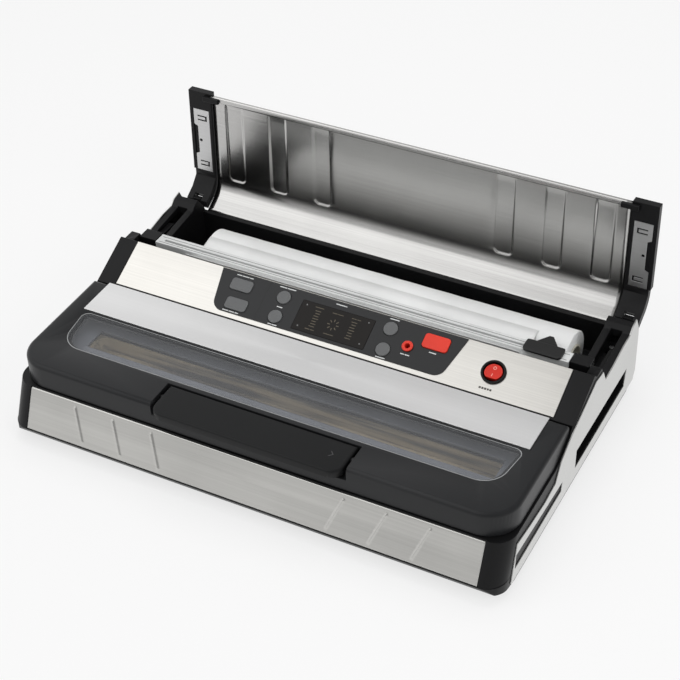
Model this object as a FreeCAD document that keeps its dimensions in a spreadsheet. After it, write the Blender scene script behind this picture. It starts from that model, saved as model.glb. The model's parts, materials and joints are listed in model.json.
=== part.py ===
import FreeCAD, Part
import os
import re
import Sketcher

# Countertop vacuum sealer with a bag roll bay, a film cutter and a drop down sealing lid.
# Frame: X to the right, Y to the back, Z up, floor at Z = 0, origin under the middle of the part.
doc = FreeCAD.newDocument("vacuum_sealer")
sheet = doc.addObject("Spreadsheet::Sheet", "sizes")

# Driving sizes in millimetres and degrees. Y and Z values are places in the frame above.
SIZES = {
    # housing
    "width": (394, "outside of the two side panels"),
    "panel": (1.0, "side panel sheet"),
    "wall": (2.5, "moulded wall"),
    "foot": (3.0, "height of the rubber feet"),
    "seam": (14.0, "joint of the base pan and the housing, Z"),
    "deck": (44.6, "top of the sealing deck, Z"),
    "front_low": (141.2, "front face at the seam, ahead of the origin"),
    "front_high": (128.0, "front face at the deck, ahead of the origin"),
    "back": (113.0, "rear face behind the origin"),
    "corner": (15.0, "front corner radius"),
    "side_strip": (16.8, "black strip beside the dressed faces"),
    "skin": (0.8, "steel sheet of the dressed faces"),
    "rib_first": (67.5, "foot of the first rib of the front panel from the middle"),
    "rib_pitch": (32.3, "step between the ribs of the front panel"),
    "rib_lean": (9.0, "lean of the ribs over their height"),
    "rib_half": (1.2, "half width of a rib"),
    "rib": (0.6, "height of a rib"),
    # control slope
    "slope_y": (13.8, "lower edge of the control plate ahead of the origin"),
    "slope_lift": (15.6, "lower edge of the control plate above the deck"),
    "slope": (25.9, "slope of the control plate, degrees"),
    "slope_run": (38.8, "control plate measured up the slope"),
    "label": (0.6, "control overlay thickness"),
    "press": (0.8, "button travel"),
    "overlay_left": (96.0, "lower left corner of the control overlay from the middle"),
    "overlay_right": (92.0, "lower right corner of the control overlay from the middle"),
    "overlay_low": (4.0, "lower edge of the control overlay up the slope"),
    "overlay_round": (9.0, "lower corner radius of the control overlay"),
    "switch_inset": (52.7, "power switch from the end of the control plate"),
    "board_half": (95.0, "half length of the control board"),
    "board_low": (6.0, "lower edge of the control board up the slope"),
    "board_high": (34.0, "upper edge of the control board up the slope"),
    # roll bay
    "side_wall": (21.0, "side wall of the roll bay, outside to inside"),
    "bay_front": (40.5, "front wall of the roll bay, Y"),
    "bay_back": (108.0, "rear wall of the roll bay, Y"),
    "bay_floor": (23.2, "floor of the roll bay, Z"),
    "bay_round": (20.0, "round at the foot of the front wall of the bay"),
    "ledge_lift": (21.4, "cutter ledge above the deck"),
    "roll_gap": (1.1, "bag roll clear of the front wall of the bay"),
    "roll_dia": (46.0, "bag roll across"),
    "roll_room": (47.0, "bay length left over by the bag roll"),
    "roll_right": (11.0, "gap at the right end of the bag roll"),
    "core_dia": (26.0, "card core across"),
    # vacuum lid
    "lid_inset": (2.5, "vacuum lid inside the side panels"),
    "lid_front": (126.0, "front of the vacuum lid ahead of the origin"),
    "lid_rear": (20.8, "rear of the vacuum lid ahead of the origin"),
    "lid_gap": (0.6, "gap between the deck and the vacuum lid"),
    "lid_height": (19.8, "height of the vacuum lid"),
    "lid_corner": (24.0, "front corner radius of the vacuum lid"),
    "hinge_y": (26.0, "vacuum lid hinge ahead of the origin"),
    "hinge_lift": (13.9, "vacuum lid hinge above the deck"),
    "hinge_inset": (47.0, "vacuum lid hinge ears inside the side panels"),
    "hinge_pin": (3.0, "vacuum lid hinge pin across"),
    "window": (2.0, "window thickness"),
    # lever
    "lever": (74.5, "half width of the lid lever"),
    "lever_front": (132.5, "front of the lever ahead of the origin"),
    "lever_rear": (102.2, "rear of the lever ahead of the origin"),
    "lever_thick": (6.1, "thickness of the lever"),
    "lever_sink": (0.4, "lever below the top of the lid"),
    "shaft_y": (112.0, "lever shaft ahead of the origin"),
    "shaft_lift": (2.0, "lever shaft above the underside of the lever"),
    "shaft": (4.0, "lever shaft across"),
    "hook_x": (60.0, "latch hooks from the middle"),
    # storage lid
    "cover_y": (118.0, "storage lid hinge, Y"),
    "cover_drop": (13.0, "storage lid hinge below the cutter ledge"),
    "cover_lean": (2.0, "lean of the open storage lid, degrees"),
    "cover_high": (94.0, "storage lid from hinge to top edge"),
    "cover_off": (16.3, "storage lid sheet behind the hinge"),
    "cover_bend": (18.0, "rounded rear edge of the storage lid"),
    "cover_foot": (7.0, "turn of the storage lid sheet above its hinge"),
    "cover_tail": (7.0, "tail of the storage lid sheet below its hinge"),
    "cap_thick": (6.0, "thickness of the lid end caps"),
    "cap_rim": (1.4, "edge of the end cap beyond its arm"),
    "cover_pin": (4.0, "storage lid hinge pin across"),
    # cutter
    "rail_end": (4.0, "cutter rail short of the bay at each end"),
    "rail_front": (32.5, "front of the cutter rail, Y"),
    "rail_back": (43.5, "rear of the cutter rail, Y"),
    "rail_lift": (1.0, "cutter rail above its ledge"),
    "rail_high": (5.0, "height of the cutter rail"),
    "rail_slit": (37.2, "blade slit of the cutter rail, Y"),
    "film": (0.2, "bag film at the free end"),
    "rail_pin": (3.0, "cutter rail pivot pin across"),
    "cutter_park": (20.5, "parked cutter from the end of the rail"),
    "cutter_length": (29.0, "cutter slider length"),
    # fits
    "gap": (0.3, "clearance between moving pieces"),
    "running": (0.05, "radial running clearance of a pin"),
}
for row, (name, (value, note)) in enumerate(SIZES.items(), start=1):
    sheet.set(f"A{row}", name)
    sheet.set(f"B{row}", str(value))
    sheet.set(f"C{row}", note)
    sheet.setAlias(f"B{row}", name)
doc.recompute()

# Sizes that follow from the driving ones.
DERIVED = {
    "half": "(width / 2)",
    "shell": "(width / 2 - panel)",
    "strip": "(width / 2 - side_strip)",
    "bay": "(width / 2 - side_wall)",
    "roll_length": "(2 * bay - roll_room)",
    "roll_shift": "(bay - roll_right - roll_length / 2)",
    "lid_half": "(width / 2 - lid_inset)",
    "hinge_x": "(width / 2 - hinge_inset)",
    "cap_inner": "(bay + 2 * gap)",
    "knuckle": "(width / 2 - side_wall / 2)",
    "rail_half": "(bay - rail_end)",
    "cutter_x": "(rail_half - cutter_park)",
    "chamber": "(lid_half - 26)",
    "lever_room": "(lever + 2.5)",
    "roll_y": "(bay_front + roll_gap + roll_dia / 2)",
    "roll_z": "(bay_floor + gap + roll_dia / 2)",
    "slope_z": "(deck + slope_lift)",
    "ledge": "(deck + ledge_lift)",
    "lid_low": "(deck + lid_gap)",
    "lid_top": "(lid_low + lid_height)",
    "hinge_z": "(deck + hinge_lift)",
    "lever_top": "(lid_top - lever_sink)",
    "lever_low": "(lever_top - lever_thick)",
    "shaft_z": "(lever_low + shaft_lift)",
    "hook_catch": "(deck - wall - 3)",
    "cover_z": "(ledge - cover_drop)",
    "rail_low": "(ledge + rail_lift)",
    "rail_top": "(rail_low + rail_high)",
    "works": "(shell - 56)",
    "switch_x": "(strip - switch_inset)",
    "tray_floor": "(deck - 14)",
    "lid_ceiling": "(lid_top - 2.7)",
    "carrier_top": "(deck + 7.4)",
    "gasket_top": "(deck + 2.4)",
    "slope_rise": "(tan(slope * 1deg))",
    "cap_outer": "(cover_off + 3.2)",
    "rail_pivot_y": "(rail_back - 1.5)",
    "rail_pivot_z": "(rail_low + 2.5)",
    "film_turn": "(180deg - atan((ledge - roll_z) / (roll_y - rail_back - gap))"
    " - acos((roll_dia / 2 + gap) / sqrt((roll_y - rail_back - gap)^2 + (ledge - roll_z)^2)))",
}
WORD = re.compile(r"[a-z_]+")


def expand(text):
    """A formula in the names above, written for the sheet."""

    def word(match):
        name = match.group()
        if name in DERIVED:
            return expand(DERIVED[name])
        return f"sizes.{name}" if name in SIZES else name

    return WORD.sub(word, str(text))


def number(text):
    """The value of a formula now."""
    return float(sheet.evalExpression(expand(text)))


def bind(thing, prop, text):
    thing.setExpression(prop, expand(text))


def new_body(label, frame=None):
    """An empty body. A frame is (y, z, turn about X in degrees) as formulas."""
    body = doc.addObject("PartDesign::Body", label)
    body.Label = label
    if frame:
        y, z, turn = frame
        spin = FreeCAD.Rotation(FreeCAD.Vector(1, 0, 0), number(turn))
        body.Placement = FreeCAD.Placement(FreeCAD.Vector(0, number(y), number(z)), spin)
        bind(body, "Placement.Base.y", y)
        bind(body, "Placement.Base.z", z)
        bind(body, "Placement.Rotation.Angle", turn)
    return body


CONTROL = ("-slope_y", "slope_z", "slope")
FRONT = ("-front_low", "seam", "90 - atan((front_low - front_high) / (deck - seam)) / 1deg")
COVER = ("cover_y", "cover_z", "-cover_lean")


def draw(body, plane, loops, level="0"):
    """A sketch of closed loops on an origin plane, lifted by level.

    A loop is a list of corners, or ("circle", u, v, radius).
    """
    sketch = body.newObject("Sketcher::SketchObject", "sketch")
    support = next(f for f in body.Origin.OriginFeatures if f.Role == plane + "_Plane")
    sketch.AttachmentSupport = [(support, "")]
    sketch.MapMode = "FlatFace"
    sketch.AttachmentOffset = FreeCAD.Placement(FreeCAD.Vector(0, 0, number(level)), FreeCAD.Rotation())
    bind(sketch, "AttachmentOffset.Base.z", level)

    def place(geometry, point, u, v):
        for kind, formula in (("DistanceX", u), ("DistanceY", v)):
            index = sketch.addConstraint(Sketcher.Constraint(kind, geometry, point, number(formula)))
            bind(sketch, f"Constraints[{index}]", formula)

    for loop in loops:
        if loop[0] == "circle":
            _, u, v, radius = loop
            centre = FreeCAD.Vector(number(u), number(v), 0)
            ring = sketch.addGeometry(Part.Circle(centre, FreeCAD.Vector(0, 0, 1), number(radius)))
            place(ring, 3, u, v)
            index = sketch.addConstraint(Sketcher.Constraint("Radius", ring, number(radius)))
            bind(sketch, f"Constraints[{index}]", radius)
            continue
        points = [FreeCAD.Vector(number(u), number(v), 0) for u, v in loop]
        lines = [
            sketch.addGeometry(Part.LineSegment(a, b)) for a, b in zip(points, points[1:] + points[:1])
        ]
        for one, two in zip(lines, lines[1:] + lines[:1]):
            sketch.addConstraint(Sketcher.Constraint("Coincident", one, 2, two, 1))
        for line, (u, v) in zip(lines, loop):
            place(line, 1, u, v)
    return sketch


def feature(body, kind, sketch, length, both):
    made = body.newObject("PartDesign::" + kind, kind)
    made.Profile = sketch
    made.SideType = "Symmetric" if both else "One side"
    made.Length = number(length)
    bind(made, "Length", length)
    sketch.Visibility = False
    return made


def pad(body, plane, loops, length, level="0", both=False, back=False):
    """Adds the loops as a prism of this length, from level, both ways or backwards."""
    made = feature(body, "Pad", draw(body, plane, loops, level), length, both)
    made.Reversed = back
    doc.recompute()


def pocket(body, plane, loops, length, level="0", both=False, back=False):
    """Cuts the loops out. It cuts against the plane's normal, or along it when back is set."""
    before = body.Shape.Volume
    made = feature(body, "Pocket", draw(body, plane, loops, level), length, both)
    made.Reversed = back
    doc.recompute()
    if not body.Shape.Volume < before - 0.001:
        raise RuntimeError(f"a cut in {body.Label} removes nothing")


def fillet(body, radius, **where):
    """Rounds the edges whose ends all lie at the given local coordinates, or at one of several."""
    doc.recompute()
    wanted = {}
    for axis, values in where.items():
        values = values if isinstance(values, tuple) else (values,)
        wanted[axis] = [number(value) for value in values]
    names = []
    for index, edge in enumerate(body.Tip.Shape.Edges, start=1):
        ends = [vertex.Point for vertex in edge.Vertexes]
        fits = [
            any(abs(getattr(end, axis) - value) < 0.01 for value in values)
            for end in ends
            for axis, values in wanted.items()
        ]
        if fits and all(fits):
            names.append(f"Edge{index}")
    if not names:
        raise RuntimeError(f"no edge to round in {body.Label}")
    base = body.Tip
    made = body.newObject("PartDesign::Fillet", "Fillet")
    made.Base = (base, names)
    made.Radius = number(radius)
    bind(made, "Radius", radius)
    doc.recompute()


def box(x0, x1, y0, y1):
    """The corners of a rectangle."""
    return [(x0, y0), (x1, y0), (x1, y1), (x0, y1)]


def rect(x, y, wide, deep):
    """A rectangle about a centre."""
    return box(f"{x} - {wide} / 2", f"{x} + {wide} / 2", f"{y} - {deep} / 2", f"{y} + {deep} / 2")


# Base pan: the moulded tray under the housing, with a rolled front and rear edge.
pan = new_body("base_pan")
pad(pan, "XY", [box("-shell", "shell", "-front_low", "back")], "seam - foot", level="foot")
for side in (-1, 1):
    fillet(pan, "corner", x=f"{side} * shell", y="-front_low")
under_front = [("-front_low - 1", "seam - 1"), ("-front_low", "seam - 1"), ("-front_low + 4", "foot + 4"),
               ("-front_low + 26", "foot"), ("-front_low + 26", "foot - 1"), ("-front_low - 1", "foot - 1")]
under_back = [("back + 1", "seam - 1"), ("back", "seam - 1"), ("back - 2", "foot + 5"), ("back - 15", "foot"),
              ("back - 15", "foot - 1"), ("back + 1", "foot - 1")]
pocket(pan, "YZ", [under_front, under_back], "2 * width", both=True)
pocket(
    pan,
    "YZ",
    [[
        ("-front_low + corner - 4", "seam + 1"),
        ("-front_low + corner - 1", "foot + 3 + wall"),
        ("-front_low + 26", "foot + wall"),
        ("back - 16", "foot + wall"),
        ("back - wall", "foot + 5 + wall"),
        ("back - wall", "seam + 1"),
    ]],
    "2 * (shell - wall)",
    both=True,
)
pan_nose = [
    ("-front_low + wall", "seam + 1"), ("-front_low + wall + 4", "foot + 4 + wall"),
    ("-front_low + 20", "foot + 2 + wall"), ("-front_low + 20", "seam + 1"),
]
pocket(pan, "YZ", [pan_nose], "2 * (strip - 2)", both=True)

# Housing in two mouldings that meet behind the control slope: the front with the sealing deck and the
# slope, and the rear tub with the roll bay and its side walls.
grip = [("-9", "seam + 18"), ("91.5", "seam + 17"), ("88", "seam + 2.5"), ("-10", "seam + 2.5")]
SPLIT = "22"
WELL_ABOVE = "ledge + 130"
for name, other in (
    ("main_housing", box(SPLIT, "back + 20", "seam - 5", WELL_ABOVE)),
    ("roll_bay_tub", box("-front_low - 20", SPLIT, "seam - 5", WELL_ABOVE)),
):
    housing = new_body(name)
    pad(
        housing,
        "YZ",
        [[
            ("-front_low", "seam"),
            ("-front_high", "deck"),
            ("-47", "deck"),
            ("-39", "deck + 2"),
            ("-22", "deck + 10.5"),
            ("-slope_y - 1.7", "slope_z - 1.7 * slope_rise"),
            ("-slope_y + slope_run * cos(slope * 1deg)", "slope_z + slope_run * sin(slope * 1deg)"),
            ("25.5", "ledge + 6.8"),
            ("36", "ledge + 6.8"),
            ("42.5", "ledge - 8.5"),
            ("61", "ledge - 8"),
            ("93", "ledge - 5"),
            ("97.5", "ledge - 1"),
            ("102.5", "ledge"),
            ("back - 3.5", "ledge - 9"),
            ("back", "ledge - 18"),
            ("back", "seam"),
        ]],
        "2 * shell",
        both=True,
    )
    for side in (-1, 1):
        fillet(housing, "corner", x=f"{side} * shell", y=("-front_low", "-front_high"))
    # room for the vacuum lid between the side cheeks
    lid_bay = box("-70", "-slope_y - 1.7", "deck", "deck + 40")
    pocket(housing, "YZ", [lid_bay], "2 * (lid_half + gap)", both=True)
    # inside of the housing, open below
    pocket(
        housing,
        "YZ",
        [[
            ("-front_low + corner - 4", "seam - 1"),
            ("-front_high + corner - 5", "deck - wall"),
            ("-slope_y - 1.7 + wall", "deck - wall"),
            ("-slope_y - 1.7 + wall", "slope_z - 1.7 * slope_rise - wall"),
            ("17", "ledge + 5"),
            ("20.5", "ledge + 5"),
            ("20.5", "ledge - wall"),
            ("bay_front - wall", "ledge - wall"),
            ("bay_front - wall", "bay_floor - wall"),
            ("back - wall", "bay_floor - wall"),
            ("back - wall", "seam - 1"),
        ]],
        "2 * (shell - wall)",
        both=True,
    )
    nose = [
        ("-front_low + wall", "seam - 1"), ("-front_high + wall - 1", "deck - wall"),
        ("-front_high + corner", "deck - wall"), ("-front_low + corner", "seam - 1"),
    ]
    pocket(housing, "YZ", [nose], "2 * (strip - 2)", both=True)
    # roll bay with the cutter ledge at its front
    pocket(
        housing,
        "YZ",
        [[
            ("23", "ledge + 30"),
            ("23", "ledge + 4.5"),
            ("26", "ledge"),
            ("bay_front", "ledge"),
            ("bay_front", "bay_floor"),
            ("bay_back", "bay_floor"),
            ("bay_back", "ledge + 30"),
        ]],
        "2 * bay",
        both=True,
    )
    fillet(housing, "bay_round", y="bay_front", z="bay_floor")
    cutter_seat = box("26", "50", "ledge", "ledge + 30")
    pocket(housing, "YZ", [cutter_seat], "2 * (bay + 12)", both=True)
    # the rear wall is lower between the side walls, and the side walls are hollow
    pocket(housing, "YZ", [box("bay_back - 1", "back + 1", "ledge - 14", "ledge + 30")], "2 * bay", both=True)
    for side in (-1, 1):
        hollow = box(f"{side} * (bay + wall)", f"{side} * (shell - wall)", "bay_front - wall", "back - wall")
        pocket(housing, "XY", [hollow], "ledge - 12 - seam", level="seam", back=True)
    # seats of the control plate and the front panel
    pocket(
        housing,
        "YZ",
        [[
            ("-slope_y", "slope_z"),
            ("-slope_y + skin * sin(slope * 1deg)", "slope_z - skin * cos(slope * 1deg)"),
            (
                "-slope_y + (slope_run + 3) * cos(slope * 1deg) + skin * sin(slope * 1deg)",
                "slope_z + (slope_run + 3) * sin(slope * 1deg) - skin * cos(slope * 1deg)",
            ),
            ("-slope_y + slope_run * cos(slope * 1deg)", "slope_z + slope_run * sin(slope * 1deg) + 5"),
        ]],
        "2 * strip",
        both=True,
    )
    pocket(
        housing,
        "YZ",
        [[
            ("-front_low - 1", "seam"),
            ("-front_low + skin * 1.09", "seam"),
            ("-front_high + skin * 1.09", "deck"),
            ("-front_high - 1", "deck"),
        ]],
        "2 * strip",
        both=True,
    )
    # openings of the control slope: one for the button board, one for the power switch
    for low, high, x0, x1 in (("4.5", "35", "-98", "98"), ("10.4", "28.4", "switch_x - 9", "switch_x + 9")):
        hole = [
            (f"-slope_y + ({along}) * cos(slope * 1deg) - {off} * sin(slope * 1deg)",
             f"slope_z + ({along}) * sin(slope * 1deg) + {off} * cos(slope * 1deg)")
            for along, off in ((low, 4), (high, 4), (high, -8), (low, -8))
        ]
        pocket(housing, "YZ", [hole], f"{x1} - ({x0})", level=x0, back=True)
    # deck openings: vacuum chamber and latch hooks
    deck_cuts = [box("-chamber", "chamber", "-82.5", "-55.5")]
    for side in (-1, 1):
        deck_cuts.append(rect(f"{side} * hook_x", "-112.1", "9", "9.8"))
    pocket(housing, "XY", deck_cuts, "wall + 1", level="deck + 0.5")
    # grip holes in the side walls
    for side in (-1, 1):
        wall_side = f"{side} * (shell - wall / 2) - (wall + 1) / 2"
        pocket(housing, "YZ", [grip], "wall + 1", level=wall_side, back=True)
    # cord entry in the rear wall, behind the left side hollow
    cord_entry = box("back - wall - 1", "back + 1", "24", "34")
    pocket(housing, "YZ", [cord_entry], "10", level="-shell + 5", back=True)
    pocket(housing, "YZ", [other], "2 * width", both=True)

# Front panel: brushed steel sheet in the sloping front, with raised slanted ribs.
front_panel = new_body("front_panel", FRONT)
front_run = "sqrt((front_low - front_high)^2 + (deck - seam)^2)"
sheet_loop = box("-strip + gap", "strip - gap", "0.6", f"{front_run} - 0.3")
pad(front_panel, "XY", [sheet_loop], "skin", level="-skin")
ribs = []
for side in (-1, 1):
    for step in (0, 1, 2):
        rib_foot = f"{side} * (rib_first + {step} * rib_pitch)"
        rib_top = f"{side} * (rib_first + {step} * rib_pitch + rib_lean)"
        ribs.append([
            (f"{rib_foot} - rib_half", "4.5"), (f"{rib_foot} + rib_half", "4.5"),
            (f"{rib_top} + rib_half", f"{front_run} - 5.3"), (f"{rib_top} - rib_half", f"{front_run} - 5.3"),
        ])
pad(front_panel, "XY", ribs, "rib")

# Side panels: satin metal sheets with a grip slot and a vent slot.
panel_outline = [
    ("-114", "deck - 7.6"), ("-94", "deck - 10.1"), ("-67", "deck - 12.2"), ("-48", "deck - 10.6"),
    ("-39", "deck + 2"), ("-22", "deck + 10.8"), ("-2.3", "slope_z + 1.8"), ("23", "ledge + 4.5"),
    ("37.3", "ledge + 2.5"), ("43.2", "ledge - 9"), ("61", "ledge - 8"), ("80.6", "ledge - 5"),
    ("93", "ledge - 5"), ("97.5", "ledge - 1"), ("106", "ledge + 0.6"), ("back - 0.5", "ledge - 12"),
    ("back", "ledge - 18"), ("back", "seam"), ("back - 4", "foot + 4"), ("-123", "foot + 4"),
]
vent = [("-116", "seam + 14"), ("-34", "seam + 10"), ("-35.7", "seam + 2.5"), ("-117.7", "seam + 2.5")]
for side, name in ((-1, "left_side_panel"), (1, "right_side_panel")):
    plate = new_body(name)
    low = (1 - side) // 2
    pad(plate, "YZ", [panel_outline, vent, grip], "panel", level=f"{side} * shell - {low} * panel")

# Grip cups: shallow trays behind the grip slots, for the fingers.
cups = new_body("grip_cups")
cup_outer = [("-12", "seam + 20"), ("93.5", "seam + 19"), ("90", "seam + 0.5"), ("-13", "seam + 0.5")]
for side in (-1, 1):
    inner_x = f"{side} * (shell - wall) - {(1 + side) // 2} * 13"
    pad(cups, "YZ", [cup_outer], "13", level=inner_x)
for side in (-1, 1):
    inner_x = f"{side} * (shell - wall) - {(1 + side) // 2} * 11.5 - {(1 - side) // 2} * 1"
    pocket(cups, "YZ", [grip], "12.5", level=inner_x, back=True)

# Control plate: brushed steel sheet on the slope, pierced for the controls.
RECT_BUTTONS = {"upper_left_button": (-81.4, 27.8), "lower_left_button": (-78.4, 11.9)}
ROUND_BUTTONS = {
    "mode_button": (-45.3, 28.2),
    "food_button": (-45.0, 11.6),
    "upper_right_button": (43.0, 28.6),
    "lower_right_button": (44.0, 11.4),
}
RED_BUTTON = (79.6, 28.0)
PORT = (60.5, 19.2)
SWITCH = ("switch_x", 19.4)
LENS = box("-30", "30", "6.5", "31.5")


def openings(play):
    """The holes for the buttons and the display, this much wider than the pieces in them."""
    loops = [rect(x, v, f"(18 + 2 * {play})", f"(10 + 2 * {play})") for x, v in RECT_BUTTONS.values()]
    loops += [("circle", x, v, f"5.5 + {play}") for x, v in ROUND_BUTTONS.values()]
    loops.append(rect(*RED_BUTTON, f"(20 + 2 * {play})", f"(11.6 + 2 * {play})"))
    return loops + [LENS, ("circle", *PORT, "3.2")]


control_plate = new_body("control_plate", CONTROL)
plate_loop = box("-strip + gap", "strip - gap", "0.3", "slope_run")
pad(control_plate, "XY", [plate_loop] + openings("gap") + [("circle", *SWITCH, "8.5")], "skin", level="-skin")

# Control overlay: black printed sheet stuck on the plate, with rounded lower corners.
overlay = new_body("control_overlay", CONTROL)
overlay_loop = [
    ("-overlay_left - 6.5", "slope_run - 0.6"), ("-overlay_left", "overlay_low"),
    ("overlay_right", "overlay_low"), ("overlay_right + 9", "slope_run - 0.6"),
]
pad(overlay, "XY", [overlay_loop] + openings("gap"), "label")
fillet(overlay, "overlay_round", x="-overlay_left", y="overlay_low")
fillet(overlay, "overlay_round", x="overlay_right", y="overlay_low")

# Display lens: smoked window of the indicator field, through the overlay and the plate.
lens = new_body("display_lens", CONTROL)
pad(lens, "XY", [box("-29.9", "29.9", "6.6", "31.4")], "label + skin + 0.2", level="-skin")

# Accessory port: a flanged tube that takes the plug of a suction hose.
port = new_body("accessory_port", CONTROL)
pad(port, "XY", [("circle", *PORT, "4.2"), ("circle", *PORT, "2")], "1.4", level="label")
pad(port, "XY", [("circle", *PORT, "3.15"), ("circle", *PORT, "2")], "8.6 + label", level="-8.6")

# Power switch: a round bezel through the plate and a rocker on its pivot.
bezel = new_body("power_bezel", CONTROL)
pad(bezel, "XY", [("circle", *SWITCH, "9.2"), ("circle", *SWITCH, "7.5")], "1.6")
pad(bezel, "XY", [("circle", *SWITCH, "8.4"), ("circle", *SWITCH, "7.5")], "10", level="-10")
pad(bezel, "XY", [("circle", *SWITCH, "8.4")], "2", level="-12")

rocker = new_body("power_rocker", CONTROL)
rocker_x, rocker_v = SWITCH
rocker_side = [
    (rocker_v - 5.4, "2.0"), (rocker_v, "0.9"), (rocker_v + 6.3, "0.4"),
    (rocker_v + 5.8, "-3"), (rocker_v, "-5.4"), (rocker_v - 5.4, "-3"),
]
pad(rocker, "YZ", [rocker_side], "13", level=f"{rocker_x} - 6.5")
around = [rect(*SWITCH, "40", "40"), ("circle", *SWITCH, "6.5")]
pocket(rocker, "XY", around, "10", level="4")
pad(rocker, "YZ", [("circle", rocker_v, "-4", "1.5")], "13", level=f"{rocker_x} - 6.5")

# Buttons: moulded caps on stems that reach the switches of the board.
def button(name, outline, x, v):
    cap = new_body(name, CONTROL)
    pad(cap, "XY", [outline], "label + 0.9 + skin + 0.6", level="-skin - 0.6")
    pad(cap, "XY", [("circle", x, v, "1.5")], "4.6 - press - 0.1 - skin - 0.6", level="-4.6 + press + 0.1")


for name, (x, v) in RECT_BUTTONS.items():
    button(name, rect(x, v, "18", "10"), x, v)
for name, (x, v) in ROUND_BUTTONS.items():
    button(name, ("circle", x, v, "5.5"), x, v)
button("red_button", rect(*RED_BUTTON, "20", "11.6"), *RED_BUTTON)

# Control board: printed circuit under the plate, hung on four posts.
board = new_body("control_board", CONTROL)
board_loop = box("-board_half", "board_half", "board_low", "board_high")
pad(board, "XY", [board_loop, ("circle", *PORT, "4")], "1.6", level="-6.2")
posts = [
    ("circle", x, v, "2")
    for x in ("2 - board_half", "board_half - 2") for v in ("board_low + 2.2", "board_high - 2.2")
]
pad(board, "XY", posts, "4.6 - skin", level="-4.6")

# Vacuum chamber: drip tray in the deck, with the lower half of the foam seal.
tray = new_body("chamber_tray")
pad(tray, "XY", [box("-chamber - 4.5", "chamber + 4.5", "-87", "-51")], "0.8", level="deck")
tray_loop = box("-chamber + 0.5", "chamber - 0.5", "-82", "-56")
pad(tray, "XY", [tray_loop], "deck - tray_floor", level="tray_floor")
pocket(tray, "XY", [box("-chamber + 2", "chamber - 2", "-80.5", "-57.5")], "13.3", level="deck + 0.8")
for side in (-1, 1):
    for y in ("-80.5", "-57.5"):
        fillet(tray, "9.5", x=f"{side} * (chamber - 2)", y=y)
seal_outer = box("-chamber - 3.5", "chamber + 3.5", "-86", "-52")
seal_ring = [seal_outer, box("-chamber + 1.5", "chamber - 1.5", "-81", "-57")]
lower_gasket = new_body("lower_gasket")
pad(lower_gasket, "XY", seal_ring, "gasket_top - deck - 0.8", level="deck + 0.8")

# Heat sealing bar with its non stick tape.
bar = new_body("seal_bar")
pad(bar, "XY", [box("-chamber - 1.5", "chamber + 1.5", "-100", "-89")], "2", level="deck")
tape = new_body("seal_tape")
pad(tape, "XY", [box("-chamber - 1.5", "chamber + 1.5", "-100.5", "-88.5")], "0.3", level="deck + 2")

# Latch keepers: steel plates under the deck that the hooks catch.
keepers = new_body("latch_keepers")
keeper_loops = [box(f"{s} * hook_x - 6", f"{s} * hook_x + 6", "-107.2", "-100") for s in (-1, 1)]
pad(keepers, "XY", keeper_loops, "1.5", level="deck - wall - 1.5")

# Vacuum lid frame: black moulding with a window opening, a lever recess and hinge lugs.
frame = new_body("lid_frame")
frame_loop = box("-lid_half", "lid_half", "-lid_front", "-lid_rear")
pad(frame, "XY", [frame_loop], "lid_top - lid_low", level="lid_low")
for side in (-1, 1):
    fillet(frame, "lid_corner", x=f"{side} * lid_half", y="-lid_front")
fillet(frame, "3.5", z="lid_top")
lower_room = [
    ("-lid_half + 3", "-lid_front + 24"), ("-lid_half + 12", "-lid_front + 6"),
    ("-lever_room - 4", "-lid_front + 6"), ("-lever_room - 4", "-103"), ("lever_room + 4", "-103"),
    ("lever_room + 4", "-lid_front + 6"), ("lid_half - 12", "-lid_front + 6"),
    ("lid_half - 3", "-lid_front + 24"), ("lid_half - 3", "-lid_rear - 3"),
    ("-lid_half + 3", "-lid_rear - 3"),
]
pocket(frame, "XY", [lower_room], "carrier_top - lid_low", level="lid_low", back=True)
under_window = box("-lid_half + 11.5", "lid_half - 11.5", "-98.5", "-47")
pocket(frame, "XY", [under_window], "lid_top - 3.5 - carrier_top", level="carrier_top", back=True)
rear_room = box("-lid_half + 6", "lid_half - 6", "-44", "-lid_rear - 3")
pocket(frame, "XY", [rear_room], "lid_ceiling - carrier_top", level="carrier_top", back=True)
window_front, window_rear = "(lid_half - 21.7)", "(lid_half - 16.5)"
WINDOW = [
    (f"-{window_front}", "-98"), (window_front, "-98"), (window_rear, "-58"), (f"-{window_rear}", "-58"),
]
window_hole = [
    (f"-{window_front} + 3.3", "-95"), (f"{window_front} - 3.3", "-95"),
    (f"{window_rear} - 4", "-61"), (f"-{window_rear} + 4", "-61"),
]
pocket(frame, "XY", [WINDOW], "window", level="lid_top")
pocket(frame, "XY", [window_hole], "8", level="lid_top")
for side in (-1, 1):
    fillet(frame, "18", x=f"{side} * {window_front}", y="-98")
    fillet(frame, "15", x=f"{side} * ({window_front} - 3.3)", y="-95")
    fillet(frame, "6", x=f"{side} * {window_rear}", y="-58")
lever_seat = box("-lever_room", "lever_room", "-lid_front - 1", "-lever_rear + 0.7")
pocket(frame, "XY", [lever_seat], "lid_top - deck - 9.9", level="lid_top")
heel = box("-30", "-lid_rear + 1", "lid_low - 1", "lid_low + 1")
pocket(frame, "YZ", [heel], "2 * lid_half + 2", both=True)
hook_slots = [rect(f"{s} * hook_x", "-111.8", "9", "10.5") for s in (-1, 1)]
pocket(frame, "XY", hook_slots, "12", level="deck + 11")
shaft_bore = [("circle", "-shaft_y", "shaft_z", "shaft / 2 + running")]
pocket(frame, "YZ", shaft_bore, "2 * lever_room + 8", both=True)
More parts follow.
